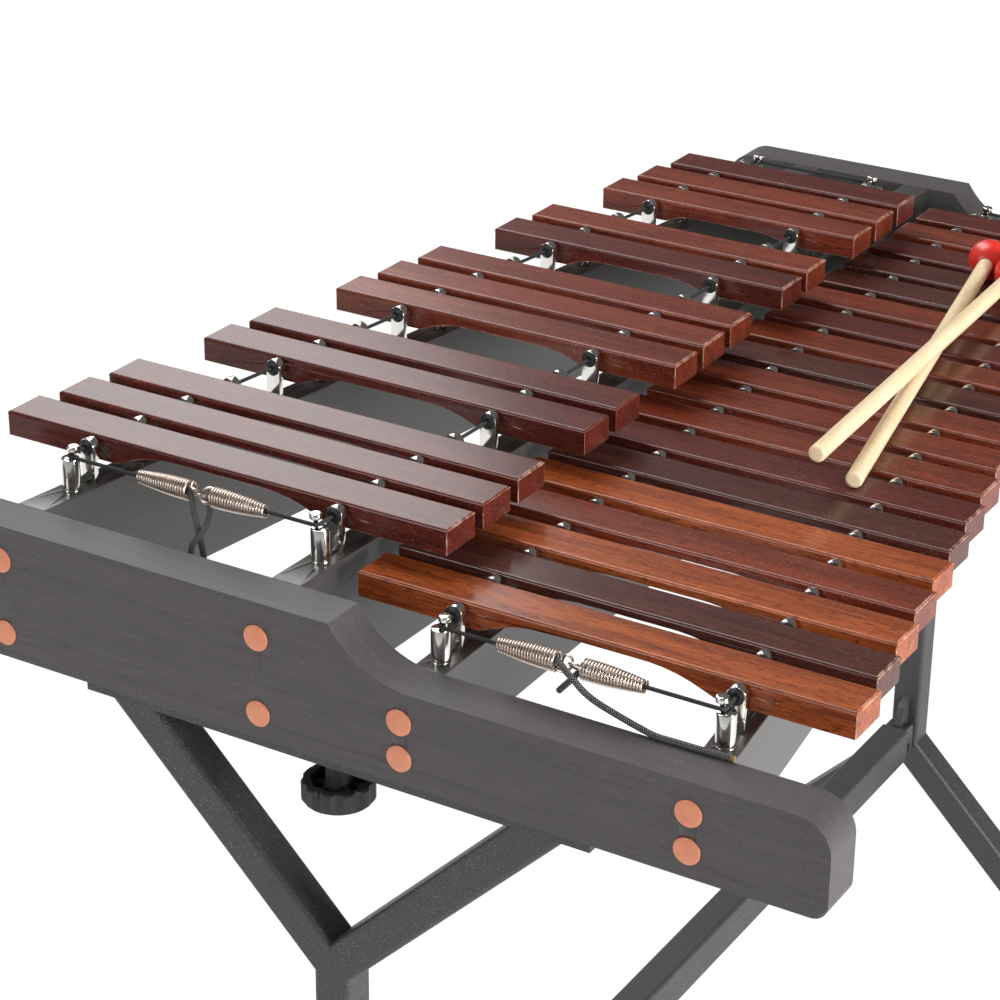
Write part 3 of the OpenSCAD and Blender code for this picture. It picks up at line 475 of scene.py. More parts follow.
# %% [markdown]
# ## The lines that the keyboard is set out on
# Four rails converge towards the high end, and everything follows them: posts, studs, cords and
# the cord holes of the bars. These few numbers are the CAD source's own.
# %% Setting out
RAIL_LENGTH, FIRST_BAR, PITCH, SLOTS = 1.026, -0.452, 0.050, 18
RAILS = {"accidental_outer": (0.282, 0.146), "accidental_inner": (0.054, 0.030),
         "natural_inner": (-0.063, -0.049), "natural_outer": (-0.283, -0.153)}
PARTNER = {"accidental_outer": "accidental_inner", "accidental_inner": "accidental_outer",
           "natural_inner": "natural_outer", "natural_outer": "natural_inner"}
ROW_TOP = {"accidental": 0.863, "natural": 0.827}
CORD_HEIGHT, BEND, KNOT_OFF, STUD_GAP = 0.028, 0.0035, 0.0425, 0.020


def row_of(rail):
    return rail.split("_")[0]


def rail_top(rail):
    return ROW_TOP[row_of(rail)]


def rail_y(rail, x):
    low, high = RAILS[rail]
    return low + (high - low) * (x / RAIL_LENGTH + 0.5)


def rail_turn(rail):
    low, high = RAILS[rail]
    return math.atan2(high - low, RAIL_LENGTH)


def inward(rail):
    return math.copysign(1, RAILS[PARTNER[rail]][0] - RAILS[rail][0])


def post_span(rail):
    """First post, last post and how many: naturals have one on each side of every bar."""
    natural = row_of(rail) == "natural"
    first, count = FIRST_BAR - natural * PITCH / 2, SLOTS + 2 * natural
    return first, first + (count - 1) * PITCH, count


def stud_span(rail):
    first, last, _ = post_span(rail)
    return first - STUD_GAP, last + STUD_GAP


def neck_y(rail, x):
    return rail_y(rail, x) + inward(rail) * BEND / math.cos(rail_turn(rail))


for rail in RAILS:
    print(rail, "turned by", round(math.degrees(rail_turn(rail)), 2), "degrees,", post_span(rail)[2], "posts")

# %% [markdown]
# ## The stretched cords
# One cord carries each row of bars. It starts at a knot inside one spring, bends round a stud,
# runs through every post and bar to the far end, crosses, comes back and ends in the other spring.
# It is taut, so straight lines and small arcs are enough.
# %% Stretched cords
HOOK_Y = {"accidental": 0.153, "natural": -0.167}
CORD_WIDTH, ARC_STEPS, RUN_STEPS = 0.003, 8, 100


def cord_half(rail):
    """From the knot near the low end, round the stud, along the rail and round the far stud."""
    low_x, high_x = stud_span(rail)
    side, turn = inward(rail), rail_turn(rail)
    z = rail_top(rail) + CORD_HEIGHT
    path = [Vector((low_x - BEND, HOOK_Y[row_of(rail)] - side * KNOT_OFF, z))]
    across = Vector((-math.sin(turn), math.cos(turn), 0)) * -side
    for x, start in ((low_x, Vector((-1, 0, 0))), (high_x, across)):
        stop = across if x == low_x else Vector((1, 0, 0))
        centre = Vector((x, neck_y(rail, x), z))
        for i in range(ARC_STEPS + 1):
            path.append(centre + start.slerp(stop, i / ARC_STEPS) * BEND)
        if x == low_x:
            first, last = path[-1], Vector((high_x, neck_y(rail, high_x), z)) + across * BEND
            path += [first.lerp(last, i / RUN_STEPS) for i in range(1, RUN_STEPS)]
    return path


for row in ROW_TOP:
    loop = cord_half(row + "_outer") + cord_half(row + "_inner")[::-1]
    bar_cord = tube(row + "_bar_cord", [loop], CORD_WIDTH / 2, 10, STRETCHED_CORD)
    belongs(bar_cord, "instrument", "cord", "bar_cords")
    print(row, "cord", round(length_of(loop), 3), "m")

# %% [markdown]
# ## The tension springs
# Each spring is a barrel: narrow where the cord goes in, wide where the hook begins. The centre
# line is the CAD source's formula with more turns and points, so that the coils lie almost against
# each other. Painted rings would not catch the light coil by coil.
# %% Springs
WIRE, WIRE_SWELL, SPRING_LENGTH, TURNS, NARROW, WIDE = 0.0016, 1.18, 0.046, 20, 0.0039, 0.0068
HOOK, HOOK_START, LEAD, HOOK_PLAY = 0.006, 0.005, 0.008, 0.0003
MOUTH = HOOK_START + HOOK - (WIRE + HOOK_PLAY) / 2
STEPS, RISE_STEPS = 24, 10
HOOK_ANGLES = {"accidental": (135, -45), "natural": (-135, 45)}


def coil_point(i):
    share = i / (TURNS * STEPS)
    turn = math.radians(270 - 360 * (TURNS * STEPS - i) / STEPS)
    radius = NARROW + (WIDE - NARROW) * math.sin(math.radians(105 * share))
    return Vector((SPRING_LENGTH * (share - 1), radius * math.cos(turn), radius * math.sin(turn)))


def eased(a, lead_a, b, lead_b, t):
    return ((2 * t ** 3 - 3 * t * t + 1) * a + (t ** 3 - 2 * t * t + t) * lead_a
            + (3 * t * t - 2 * t ** 3) * b + (t ** 3 - t * t) * lead_b)


def spring_line():
    line = [coil_point(i) for i in range(TURNS * STEPS + 1)]
    top = Vector((HOOK_START, HOOK, 0))
    rise = [eased(line[-1], Vector((0.001, LEAD, 0)), top, Vector((LEAD, 0, 0)), i / RISE_STEPS)
            for i in range(1, RISE_STEPS)]
    arc = [Vector((HOOK_START + HOOK * math.cos(math.radians(a)), HOOK * math.sin(math.radians(a)), 0))
           for a in range(90, -151, -10)]
    return line + rise + arc


SPRING_LINE = spring_line()
springs = []
for row, (outer_angle, inner_angle) in HOOK_ANGLES.items():
    outer = row + "_outer"
    place = Vector((stud_span(outer)[0] - BEND, HOOK_Y[row], rail_top(outer) + CORD_HEIGHT))
    for half in (-1, 1):
        angle = outer_angle if (half < 0) == (inward(outer) > 0) else inner_angle
        pose = (Matrix.Translation(place + Vector((0, half * MOUTH, 0)))
                @ Matrix.Rotation(math.radians(-90 * half), 4, "Z")
                @ Matrix.Rotation(math.radians(angle), 4, "X"))
        springs.append([pose @ p for p in SPRING_LINE])
spring_piece = tube("hooked_springs", springs, WIRE_SWELL * WIRE / 2, 10, SPRING_WIRE)
belongs(spring_piece, "instrument", "spring_steel", "tension_springs")
print(len(springs), "springs of", TURNS, "turns")

# %% [markdown]
# ## Finishing copies of CAD solids
# Most solids are right in shape but have edges sharp as glass. Real wood and steel never do, and
# the thin highlight along a broken edge is half of what makes a picture look real. A Bevel
# modifier would round every facet too, so each node is copied, merged, and only its long sharp
# edges get a narrow bevel. Wide faces are cut up first: a forked one would fold over itself.
# %% Helper: a copy with broken edges
MERGE, FLAT_ANGLE, SMOOTH_ANGLE = 0.004 * MM, math.radians(0.3), math.radians(50)


def broken_edges(node, width, slot, material, least, segments=2, angle=35, reshape=None):
    solid, name = frame["nodes"][node], node + "_finished"
    work = bmesh.new()
    work.from_mesh(solid.data)
    bmesh.ops.remove_doubles(work, verts=work.verts, dist=MERGE)
    bmesh.ops.dissolve_limit(work, angle_limit=FLAT_ANGLE, verts=work.verts, edges=work.edges)
    bmesh.ops.triangulate(work, faces=[f for f in work.faces if len(f.verts) > 4], ngon_method="BEAUTY")
    if reshape:
        reshape(work)
    chosen = [e for e in work.edges if len(e.link_faces) == 2 and e.calc_length() > least
              and e.calc_face_angle(0) > math.radians(angle)]
    wear = work.faces.layers.float.new("wear")
    made = bmesh.ops.bevel(work, geom=chosen, offset=width, segments=segments, profile=0.5, affect="EDGES",
                           clamp_overlap=True, loop_slide=True)
    for face in made["faces"]:
        face[wear] = 1.0
    for face in work.faces:
        face.smooth = True
    mesh = bpy.data.meshes.new(name)
    work.to_mesh(mesh)
    work.free()
    mesh.set_sharp_from_angle(angle=SMOOTH_ANGLE)
    mesh.materials.append(material)
    piece = bpy.data.objects.new(name, mesh)
    scene.collection.objects.link(piece)
    weigh = piece.modifiers.new("weigh", "WEIGHTED_NORMAL")
    weigh.keep_sharp = True
    bpy.context.view_layer.update()
    piece.data = bpy.data.meshes.new_from_object(piece.evaluated_get(bpy.context.evaluated_depsgraph_get()))
    piece.modifiers.clear()
    return belongs(piece, solid["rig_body"], slot, node)


# %% [markdown]
# ## Rosewood bars
# Rosewood runs from orange brown to nearly black, often in one log, and the maker sets the bars in
# tune, not in colour. So each bar gets its own shade from a small set of wood tones and its own
# piece of the grain. Thin satin lacquer lies over all of them and gathers fine dust. The shine is
# in this coat and hardly in the wood below, which keeps the bars' sides deep red.
# The pale colour on their broken edges is partly worn lacquer and partly a painted highlight.
# %% Finish: rosewood under lacquer
WOOD_TONES = {
    "amber": ((0.120, 0.020, 0.006), (0.430, 0.098, 0.020)),
    "russet": ((0.075, 0.011, 0.005), (0.215, 0.038, 0.014)),
    "plum": ((0.046, 0.007, 0.005), (0.125, 0.020, 0.012)),
    "umber": ((0.038, 0.009, 0.006), (0.095, 0.025, 0.016)),
}


def rosewood(name, tone, seed):
    dark, light = WOOD_TONES[tone]
    material, tree, shader = finish(
        name, Roughness=0.5, Specular_IOR_Level=0.08, Coat_Weight=0.6, Coat_Roughness=0.2)
    place = place_of(tree, shift=(seed * 0.731, seed * 1.37, seed * 0.217))
    grain = use(tree, WOOD_GRAIN, Place=place, Figure=1.4, Fibre=1.3, Pores=0.8)
    dust = use(tree, DUST, Place=place, Size=750.0, Amount=0.3)
    wear = use(tree, EDGE_WEAR, Place=place, Amount=0.6)
    wood = blend(tree, grain["Tone"], dark, light)
    wood = blend(tree, grain["Pore mask"], wood, tuple(c * 0.5 for c in dark))
    wood = blend(tree, dust["Fleck"], wood, (0.58, 0.34, 0.24))
    # Painted highlight: this pale colour on the broken edges stands partly for worn lacquer and partly for
    # light caught along the edges.
    wood = blend(tree, wear["Mask"], wood, (0.56, 0.36, 0.27))
    wire(tree, (wood, shader["Base Color"]))
    bump(tree, grain["Height"], 0.12, 0.0002, shader["Normal"])
    return material


TONES_IN_ORDER = """
f4 amber, g4 umber, a4 amber, b4 russet, c5 amber, d5 umber, e5 plum, f5 russet, g5 russet,
a5 russet, b5 umber, c6 russet, d6 plum, e6 russet, f6 umber, g6 umber, a6 plum, b6 russet,
c7 plum, fs4 plum, gs4 plum, as4 plum, cs5 plum, ds5 plum, fs5 russet, gs5 russet, as5 russet,
cs6 plum, ds6 russet, fs6 russet, gs6 russet, as6 plum
"""
BAR_TONES = dict(pair.split() for pair in TONES_IN_ORDER.split(","))

# %% [markdown]
# A bar is tuned by what is sawn out of its underside. The cut is not one arc: it slopes in from
# both ends, bends over and runs flat in the middle. The CAD solid has one arc of nearly the same
# depth, so here its points are moved on to the real line.
# %% Tuning arches and bars
CUT_SLOPE, DEEP_CUT, SHALLOW_CUT, CUT_HALF_SHARE = math.radians(22), 0.0135, 0.0050, 0.24
ARCH_BAND = (0.0001, 0.0128)


def cut_line(far, half, depth):
    """Height of the cut at a distance from the bar's middle."""
    bend = 0.6 * depth / (1 - math.cos(CUT_SLOPE))
    ramp_length = 0.4 * depth / math.tan(CUT_SLOPE)
    flat = half - ramp_length - bend * math.sin(CUT_SLOPE)
    if far > half - ramp_length:
        return max(0.0, half - far) * math.tan(CUT_SLOPE)
    return depth if far < flat else depth - bend + math.sqrt(bend ** 2 - (far - flat) ** 2)


def recut(work):
    low, high = min(v.co.y for v in work.verts), max(v.co.y for v in work.verts)
    floor_z, x = min(v.co.z for v in work.verts), work.verts[:][0].co.x
    middle, half = (low + high) / 2, CUT_HALF_SHARE * (high - low)
    depth = DEEP_CUT + (SHALLOW_CUT - DEEP_CUT) * (x - FIRST_BAR) / (SLOTS * PITCH)
    for v in work.verts:
        if abs(v.co.y - middle) < half and ARCH_BAND[0] < v.co.z - floor_z < ARCH_BAND[1]:
            v.co.z = floor_z + cut_line(abs(v.co.y - middle), half, depth)


for seed, (note, tone) in enumerate(BAR_TONES.items()):
    wood = rosewood("rosewood " + note, tone, seed + 1)
    broken_edges("bar_" + note, 0.7 * MM, "bar_wood", wood, 1.6 * MM, angle=28, reshape=recut)
print(len(BAR_TONES), "bars in", len(WOOD_TONES), "tones")

# %% [markdown]
# ## The black frame
# Rails and end boards are softwood, stained black, with a faint grain. The rails are darker and
# satin, the boards duller and greyer. The grain runs the long way, along X in a rail and along Y in
# a board, and one group serves both because it can be turned.
# %% Finish: black stained wood
def stained(name, dark, light, rough, gloss, turn=0.0, shift=0.0):
    material, tree, shader = finish(name, Roughness=rough, Specular_IOR_Level=gloss)
    place = place_of(tree, shift=(shift, shift, 0), turn=(0, 0, turn))
    grain = use(tree, WOOD_GRAIN, Place=place, Figure=0.5, Fibre=1.0, Pores=0.3)
    dust = use(tree, DUST, Place=place, Size=650.0, Amount=0.30)
    wear = use(tree, EDGE_WEAR, Place=place, Amount=0.35)
    wood = blend(tree, grain["Tone"], dark, light)
    wood = blend(tree, dust["Fleck"], wood, (0.22, 0.20, 0.19))
    wood = blend(tree, wear["Mask"], wood, (0.12, 0.11, 0.10))
    wire(tree, (wood, shader["Base Color"]))
    bump(tree, grain["Height"], 0.25, 0.0003, shader["Normal"])
    return material


for rail in RAILS:
    satin = stained(rail + " stain", (0.032, 0.029, 0.028), (0.056, 0.051, 0.049), 0.33, 0.9,
                    math.pi / 2 - rail_turn(rail), rail_y(rail, 0))
    broken_edges(rail + "_rail", 1.0 * MM, "frame_wood", satin, 1.2 * MM, angle=28)
for board in ("low_end_board", "high_end_board"):
    rubbed = stained(board + " stain", (0.056, 0.050, 0.052), (0.088, 0.079, 0.082), 0.5, 0.3)
    broken_edges(board, 2.4 * MM, "frame_wood", rubbed, 2.6 * MM, segments=3, angle=28)
print("4 rails and 2 end boards")

# %% [markdown]
# ## Posts, grommets and studs
# Seventy-six posts are one post repeated, so one good post is modelled and Geometry Nodes set it
# out along each rail. Copying it in a loop would look the same, but here the two ends of the line,
# the count and the turn stay named inputs.
# %% Geometry Nodes: a row along a line
ROW, ROW_INPUTS, takes, gives = geometry_tree(
    "row along a line",
    [("First", "NodeSocketVector"), ("Last", "NodeSocketVector"), ("Count", "NodeSocketInt"),
     ("Turn", "NodeSocketFloat"), ("Pattern", "NodeSocketObject"), ("Finish", "NodeSocketMaterial")],
)
stations = add(ROW, "GeometryNodeMeshLine", mode="END_POINTS")
pattern = add(ROW, "GeometryNodeObjectInfo")
turned = add(ROW, "ShaderNodeCombineXYZ")
copies = add(ROW, "GeometryNodeInstanceOnPoints")
realize = add(ROW, "GeometryNodeRealizeInstances")
paint = add(ROW, "GeometryNodeSetMaterial")
wire(
    ROW, (takes["First"], stations.inputs["Start Location"]), (takes["Last"], stations.inputs["Offset"]),
    (takes["Count"], stations.inputs["Count"]), (takes["Pattern"], pattern.inputs[0]),
    (takes["Turn"], turned.inputs[2]), (stations.outputs[0], copies.inputs["Points"]),
    (pattern.outputs["Geometry"], copies.inputs["Instance"]), (turned.outputs[0], copies.inputs["Rotation"]),
    (copies.outputs[0], realize.inputs[0]), (realize.outputs[0], paint.inputs[0]),
    (takes["Finish"], paint.inputs["Material"]), (paint.outputs[0], gives[0]),
)


def line_up(name, pattern, first, last, count, turn, material):
    return grown(name, bpy.data.meshes.new(name), ROW, ROW_INPUTS, First=first, Last=last,
                 Count=count, Turn=turn, Pattern=pattern, Finish=material)


def built(name, work, material, sharp=40):
    """Turns a bmesh into an object with clean outward normals."""
    bmesh.ops.remove_doubles(work, verts=work.verts, dist=0.000005)
    bmesh.ops.recalc_face_normals(work, faces=work.faces)
    for face in work.faces:
        face.smooth = True
    mesh = bpy.data.meshes.new(name)
    work.to_mesh(mesh)
    work.free()
    mesh.set_sharp_from_angle(angle=math.radians(sharp))
    mesh.materials.append(material)
    piece = bpy.data.objects.new(name, mesh)
    scene.collection.objects.link(piece)
    return piece


# %% [markdown]
# A post is pressed from sheet: a flat face with a round top, and a wall turned back all round it
# that is deeper about the arch than down the sides. It is drawn here as an outline with a depth
# at each point. Solidify gives one depth only, so the four rings of points are placed one by one.
# %% The cord post
POST_WIDTH, SHEET, POST_BAND, POST_FLANGE, BAND_FOOT = 0.014, 0.0013, 0.007, 0.004, 0.0197


def post_outline(inset):
    half = POST_WIDTH / 2 - inset
    arch = [(half * math.cos(math.radians(a)), CORD_HEIGHT + half * math.sin(math.radians(a)))
            for a in range(0, 181, 15)]
    return [(half, 0.0), (half, BAND_FOOT - 0.001), (half, BAND_FOOT), *arch, (-half, BAND_FOOT),
            (-half, BAND_FOOT - 0.001), (-half, 0.0)]


def sheet_post():
    work = bmesh.new()
    front = -POST_BAND / 2
    outer, inner = post_outline(0), post_outline(SHEET)
    depths = [POST_FLANGE, POST_FLANGE] + [POST_BAND] * (len(outer) - 4) + [POST_FLANGE, POST_FLANGE]
    rings = []
    for (y, z), (v, w), depth in zip(outer, inner, depths):
        rings.append([work.verts.new(p) for p in (
            (front, y, z), (front + depth, y, z), (front + depth, v, w), (front + SHEET, v, w))])
    for a, b in zip(rings, rings[1:]):
        for i in range(3):
            work.faces.new((a[i], a[i + 1], b[i + 1], b[i]))
    work.faces.new([r[0] for r in rings])
    work.faces.new([r[3] for r in reversed(rings)])
    first, last = rings[0], rings[-1]
    work.faces.new((first[0], first[3], last[3], last[0]))
    work.faces.new((first[0], first[1], first[2], first[3]))
    work.faces.new((last[0], last[3], last[2], last[1]))
    bmesh.ops.recalc_face_normals(work, faces=work.faces)
    edges = [e for e in work.edges if len(e.link_faces) == 2 and e.calc_face_angle(0) > math.radians(40)
             and e.calc_length() > 1.1 * MM]
    bmesh.ops.bevel(work, geom=edges, offset=0.3 * MM, segments=2, profile=0.5, affect="EDGES",
                    clamp_overlap=True)
    return built("post_pattern", work, NICKEL, 50)


# %% [markdown]
# Turned pieces are a profile spun round an axis, as a lathe makes them. A Screw modifier would
# leave the poles open, so one helper does the grommets, the studs, the caps and the mallets.
# %% Helper: turned pieces
TINY = 1e-7


def spun(work, profile, place, axis="Z", steps=32):
    """Adds a closed solid of revolution; profile is (radius, height) along the axis."""
    spin = {"Z": Matrix.Identity(3), "X": Matrix.Rotation(math.radians(90), 3, "Y")}[axis]
    rings = []
    for radius, height in profile:
        angles = [2 * math.pi * i / steps for i in range(steps if radius > TINY else 1)]
        rings.append([work.verts.new(Vector(place) + spin @ Vector(
            (radius * math.cos(a), radius * math.sin(a), height))) for a in angles])
    for a, b in zip(rings, rings[1:]):
        for i in range(steps):
            j = (i + 1) % steps
            corners = [a[i % len(a)], a[j % len(a)], b[j % len(b)], b[i % len(b)]]
            unique = list(dict.fromkeys(corners))
            if len(unique) > 2:
                work.faces.new(unique)
    if len(rings[0]) > 1 and len(rings[-1]) > 1 and profile[0] == profile[-1]:
        bmesh.ops.remove_doubles(work, verts=rings[0] + rings[-1], dist=TINY)
    return work


def grommet():
    back = -POST_BAND / 2
    profile = [(1.95, -1.7), (2.6, -2.4), (4.2, -2.4), (4.7, -1.9), (5.8, -1.7), (6.3, -1.2), (6.3, -0.1),
               (5.5, 1.4), (5.5, 6.4), (5.0, 7.0), (1.95, 7.0), (1.95, -1.7)]
    ring = [(radius * MM, back + height * MM) for radius, height in profile]
    return built("grommet_pattern", spun(bmesh.new(), ring, (0, 0, 0), "X", 24), GROMMET_RUBBER)


post_pattern, grommet_pattern = sheet_post(), grommet()
for rail in RAILS:
    first, last, count = post_span(rail)
    ends = [Vector((x, rail_y(rail, x), rail_top(rail))) for x in (first, last)]
    posts = line_up(rail + "_post_row", post_pattern, *ends, count, rail_turn(rail), NICKEL)
    belongs(posts, "instrument", "plated_steel", rail + "_posts")
    lifted = [end + Vector((0, 0, CORD_HEIGHT)) for end in ends]
    rings = line_up(rail + "_grommet_row", grommet_pattern, *lifted, count, rail_turn(rail), GROMMET_RUBBER)
    belongs(rings, "instrument", "grommet_rubber", "grommets")
    print(rail, count, "posts,", len(posts.data.polygons), "faces")
for pattern in (post_pattern, grommet_pattern):
    bpy.data.objects.remove(pattern)

# %% [markdown]
# ## Cord studs
# A stud is turned from one bar: a plain barrel with a thin foot, and an eccentric neck that leads
# the cord round the corner under a flat-topped head. One spin can't be eccentric, so it takes two.
# %% Cord studs
BARREL = [(0, 0), (7.3, 0), (7.3, 0.8), (7.1, 1.1), (6.9, 1.2), (6.9, 24.6), (6.7, 25.2), (6.2, 25.5),
          (0, 25.5)]
HEAD = [(0, 25), (1.7, 25), (1.7, 29.8), (2.2, 30.3), (4.2, 31.7), (4.6, 32.2), (4.6, 35.1),
        (4.4, 35.6), (4, 35.9), (3, 36), (0, 36)]


def in_metres(profile):
    return [(radius * MM, height * MM) for radius, height in profile]


stud_work = bmesh.new()
for rail in RAILS:
    for x in stud_span(rail):
        spun(stud_work, in_metres(BARREL), (x, rail_y(rail, x), rail_top(rail)), steps=40)
        spun(stud_work, in_metres(HEAD), (x, neck_y(rail, x), rail_top(rail)), steps=32)
studs = built("turned_studs", stud_work, NICKEL, 35)
belongs(studs, "instrument", "plated_steel", "cord_studs")
print("8 studs,", len(studs.data.polygons), "faces")

# %% [markdown]
# ## Screw caps
# Thin copper coloured caps hide the screws through the end boards. They are slightly domed, with
# a soft rim, and sit proud of the wood. They are painted plastic, so the finish is no metal.
# %% Screw caps
COPPER, tree, shader = finish("copper cap", Roughness=0.34, Coat_Weight=0.35, Coat_Roughness=0.15)
patches = ramp(tree, noise_at(tree, place_of(tree), Scale=90.0, Detail=3.0), (0.3, 0.0), (0.7, 1.0))
wire(tree, (blend(tree, patches, (0.56, 0.185, 0.088), (0.62, 0.225, 0.112)), shader["Base Color"]))
BOARD_FACE, LOW_CAP_Z, UPPER_CAP_DROP = 0.550, 0.776, {"accidental": 0.0275, "natural": 0.023}
DOME = [(0, -5.5), (6, -5.5), (6, 0), (9.9, 0), (10, 0.2), (10, 0.6), (9.8, 1), (9.3, 1.25), (8, 1.4),
        (5, 1.55), (0, 1.6)]
cap_work = bmesh.new()
for end in (-1, 1):
    for rail in RAILS:
        y = rail_y(rail, end * RAIL_LENGTH / 2)
        for z in (LOW_CAP_Z, rail_top(rail) - UPPER_CAP_DROP[row_of(rail)]):
            spun(cap_work, [(r, end * h) for r, h in in_metres(DOME)], (end * BOARD_FACE, y, z), "X", 36)
caps = built("domed_caps", cap_work, COPPER, 60)
belongs(caps, "instrument", "cap_plastic", "screw_caps")
print("16 caps,", len(caps.data.polygons), "faces")

# %% [markdown]
# ## The stand
# Square tube with a black powder coat, rubber feet and two moulded clamp knobs. The coat is a fine
# orange peel with paler grains melted into it. The solids are right and only get broken edges.
# %% Stand, feet and knobs
POWDER, tree, shader = finish("powder coat", Roughness=0.48, Specular_IOR_Level=0.5)
place = place_of(tree)
peel = noise_at(tree, place, Scale=900.0, Detail=2.0, Roughness=0.6)
dust = use(tree, DUST, Place=place, Size=850.0, Amount=0.9)
wear = use(tree, EDGE_WEAR, Place=place, Amount=0.25)
hills = ramp(tree, peel, (0.4, 0.0), (0.6, 1.0))
coat = blend(tree, hills, (0.026, 0.025, 0.026), (0.052, 0.050, 0.050))
coat = blend(tree, dust["Fleck"], coat, (0.20, 0.19, 0.18))
coat = blend(tree, wear["Mask"], coat, (0.09, 0.085, 0.08))
wire(tree, (coat, shader["Base Color"]))
bump(tree, peel, 0.5, 0.0004, shader["Normal"])
FOOT_RUBBER = dull("foot rubber", (0.020, 0.020, 0.021), 0.6, 500.0, 0.0002, 0.3)
KNOB_PLASTIC = dull("knob plastic", (0.016, 0.016, 0.017), 0.5, 900.0, 0.0001, 0.4)
for node in ("low_trestle", "high_trestle", "stretcher_beam"):
    broken_edges(node, 0.8 * MM, "stand_steel", POWDER, 2.0 * MM)
broken_edges("foot_caps", 1.0 * MM, "foot_rubber", FOOT_RUBBER, 1.8 * MM)
for node in ("low_knob", "high_knob"):
    broken_edges(node, 0.5 * MM, "knob_plastic", KNOB_PLASTIC, 1.0 * MM)
print("2 trestles, a beam, 4 feet and 2 knobs")

# %% [markdown]
# ## Mallets
# Birch sticks, smooth and nearly white, with a flat butt and a rounded edge, and glossy red balls
# with a soft ring of glue where the stick goes in. The left stick lies over the right one, with
# the CAD source's own headings and tilts.
# %% Mallets
BALL, tree, shader = finish("red ball", Roughness=0.36, Coat_Weight=0.35, Coat_Roughness=0.22)
cloud = noise_at(tree, place_of(tree), Scale=60.0, Detail=2.0)
wire(tree, (blend(tree, cloud, (0.56, 0.016, 0.008), (0.70, 0.030, 0.014)), shader["Base Color"]))
MALLETS = {"left": ((0.2904, -0.1600), 4.18, 1.9530), "right": ((0.3124, -0.1266), 10.45, -1.3534)}
BALL_Z, MALLET_LENGTH, STICK, BALL_RADIUS, BUTT = 0.8803, 0.481, 0.0068, 0.018, 0.0025
GLUE_RING = in_metres([(7.8, 16.22), (7.3, 16.3), (7.0, 15.8), (7.0, 0.0), (0, 0.0)])


def birch(name, heading):
    material, tree, shader = finish(name, Roughness=0.38, Coat_Weight=0.25, Coat_Roughness=0.2)
    place = place_of(tree, turn=(0, 0, math.pi / 2 - heading))
    grain = use(tree, WOOD_GRAIN, Place=place, Figure=0.7, Fibre=0.9, Pores=0.25)
    wood = blend(tree, grain["Tone"], (0.66, 0.47, 0.26), (0.86, 0.73, 0.50))
    wire(tree, (blend(tree, grain["Pore mask"], wood, (0.50, 0.33, 0.16)), shader["Base Color"]))
    return material


for side, ((x, y), heading, tilt) in MALLETS.items():
    pose = (Matrix.Translation((x, y, BALL_Z)) @ Matrix.Rotation(math.radians(heading), 4, "Z")
            @ Matrix.Rotation(math.radians(tilt), 4, "Y") @ Matrix.Rotation(math.radians(-90), 4, "Y"))
    corner = (STICK - BUTT, MALLET_LENGTH - BUTT)
    butt = [(corner[0] + BUTT * math.cos(math.radians(a)), corner[1] + BUTT * math.sin(math.radians(a)))
            for a in range(0, 91, 15)] + [(0, MALLET_LENGTH)]
    shaft = [(0, -0.006), (STICK, -0.006)] + [(STICK, 0.012 + 0.02 * i) for i in range(24)] + butt
    work = spun(bmesh.new(), shaft, (0, 0, 0), steps=28)
    work.transform(pose)
    stick = built(side + "_stick_turned", work, birch(side + " birch", math.radians(heading)), 60)
    belongs(stick, side + "_mallet", "mallet_wood", f"{side}_mallet_stick")
    ball = [(BALL_RADIUS * math.sin(math.radians(a)), -BALL_RADIUS * math.cos(math.radians(a)))
            for a in range(0, 151, 6)]
    work = spun(bmesh.new(), ball + GLUE_RING, (0, 0, 0), steps=48)
    work.transform(pose)
    head = built(side + "_ball_turned", work, BALL, 60)
    belongs(head, side + "_mallet", "mallet_ball", f"{side}_mallet_head")
    print(side, "mallet at", heading, "degrees")

# %% [markdown]
# ## The node that stays as it is
# The rail screws are buried in the wood, so they keep their CAD shape and only get a zinc finish.
# %% Hidden screws
screws = frame["nodes"]["rail_screws"].data
screws.materials.clear()
screws.materials.append(metal("zinc", (0.55, 0.55, 0.56), 0.3))
print("rail screws,", len(screws.polygons), "faces")

# %% [markdown]
# ## Studio
# The camera sees the floor as white, with the shadow left on it. A mirror sees it bright behind the
# keyboard and dark around the camera, which streaks the nickel. Light Path tells the rays apart.
# %% Floor
GLOW_SHARE, DEPTH_SCALE = 0.94, 0.25
floor_mesh = bpy.data.meshes.new("floor")
floor_mesh.from_pydata([(-9, -9, 0), (14, -9, 0), (14, 14, 0), (-9, 14, 0)], [], [(0, 1, 2, 3)])
floor = bpy.data.objects.new("floor", floor_mesh)
scene.collection.objects.link(floor)
white = bpy.data.materials.new("floor white")
white.use_nodes = True
tree = white.node_tree
tree.nodes.clear()
paths = tree.nodes.new("ShaderNodeLightPath").outputs
spot = tree.nodes.new("ShaderNodeSeparateXYZ")
depth = sums(tree, "MULTIPLY_ADD", spot.outputs[1], gaze.y, sums(tree, "MULTIPLY", spot.outputs[0], gaze.x))
lit = ramp(tree, sums(tree, "MULTIPLY_ADD", depth, DEPTH_SCALE, 0.5), (0.26, 0.06), (0.46, 1.0))
mirrored = sums(tree, "MULTIPLY", paths["Is Glossy Ray"], lit)
direct = sums(tree, "MAXIMUM", paths["Is Camera Ray"], paths["Is Transmission Ray"])
seen = sums(tree, "MAXIMUM", direct, mirrored)
matte = add(tree, "ShaderNodeBsdfDiffuse", Color=(0.8, 0.8, 0.8, 1))
glow = add(tree, "ShaderNodeEmission", Strength=1.05)
mix = tree.nodes.new("ShaderNodeMixShader")
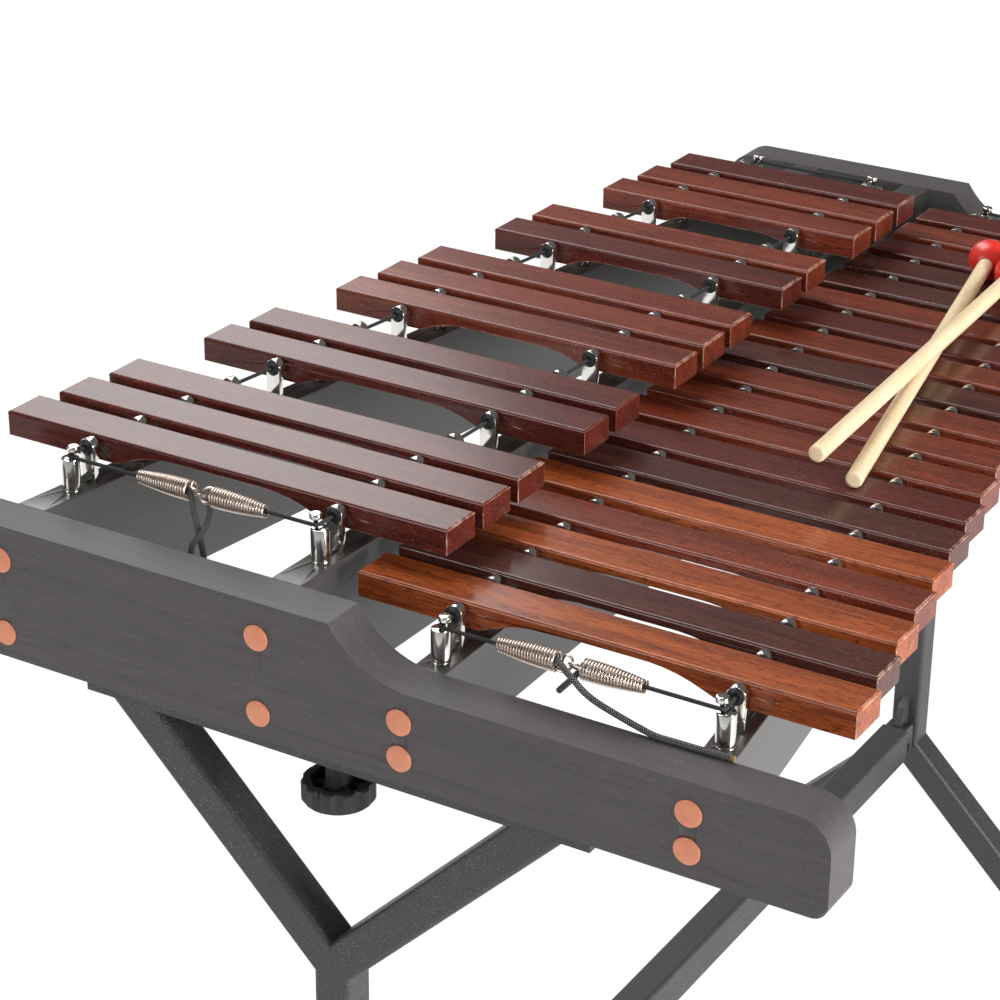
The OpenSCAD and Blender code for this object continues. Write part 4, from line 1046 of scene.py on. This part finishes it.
wire(tree, (tree.nodes.new("ShaderNodeTexCoord").outputs["Object"], spot.inputs[0]),
     (sums(tree, "MULTIPLY", seen, GLOW_SHARE), mix.inputs[0]), (matte.outputs[0], mix.inputs[1]),
     (glow.outputs[0], mix.inputs[2]), (mix.outputs[0], tree.nodes.new("ShaderNodeOutputMaterial").inputs[0]))
floor_mesh.materials.append(white)
print("floor of", floor.dimensions.x, "by", floor.dimensions.y, "m")

# %% [markdown]
# The world is white to the camera, half as bright to plain light and nearly dark to reflections, so
# lacquer keeps its colour. Four broad lamps stand for softboxes, the one behind for the sheen.
# %% World and lamps
PLAIN_LIGHT, REFLECTED_DROP = 0.5, -0.38
world = bpy.data.worlds.new("studio")
scene.world = world
world.use_nodes = True
tree = world.node_tree
tree.nodes.clear()
paths = tree.nodes.new("ShaderNodeLightPath").outputs
direct = sums(tree, "MAXIMUM", paths["Is Camera Ray"], paths["Is Transmission Ray"])
lighting = sums(tree, "MULTIPLY_ADD", paths["Is Glossy Ray"], REFLECTED_DROP, PLAIN_LIGHT)
strength = sums(tree, "MULTIPLY_ADD", direct, 1 - PLAIN_LIGHT, lighting)
sky = add(tree, "ShaderNodeBackground", Color=(1, 1, 1, 1))
wire(tree, (strength, sky.inputs["Strength"]),
     (sky.outputs[0], tree.nodes.new("ShaderNodeOutputWorld").inputs[0]))


def lamp(name, place, aim, size, power):
    light = bpy.data.lights.new(name, "AREA")
    light.shape = "DISK"
    light.size = size
    light.energy = power
    holder = bpy.data.objects.new(name, light)
    holder.location = place
    holder.rotation_euler = (Vector(aim) - Vector(place)).to_track_quat("-Z", "Y").to_euler()
    scene.collection.objects.link(holder)
    print(name, "lamp,", power, "W")


lamp("overhead", (0.6, 1.2, 3.2), (0, 0, 0.8), 2.0, 55)
lamp("back", (1.9, 2.1, 2.5), (-0.2, 0.1, 0.8), 1.4, 20)
lamp("left", (-3.0, 1.2, 1.9), (-0.3, 0, 0.8), 1.2, 30)
lamp("right", (-0.5, -3.2, 1.15), (-0.1, 0, 0.8), 1.4, 150)
scene.view_settings.view_transform = "Standard"
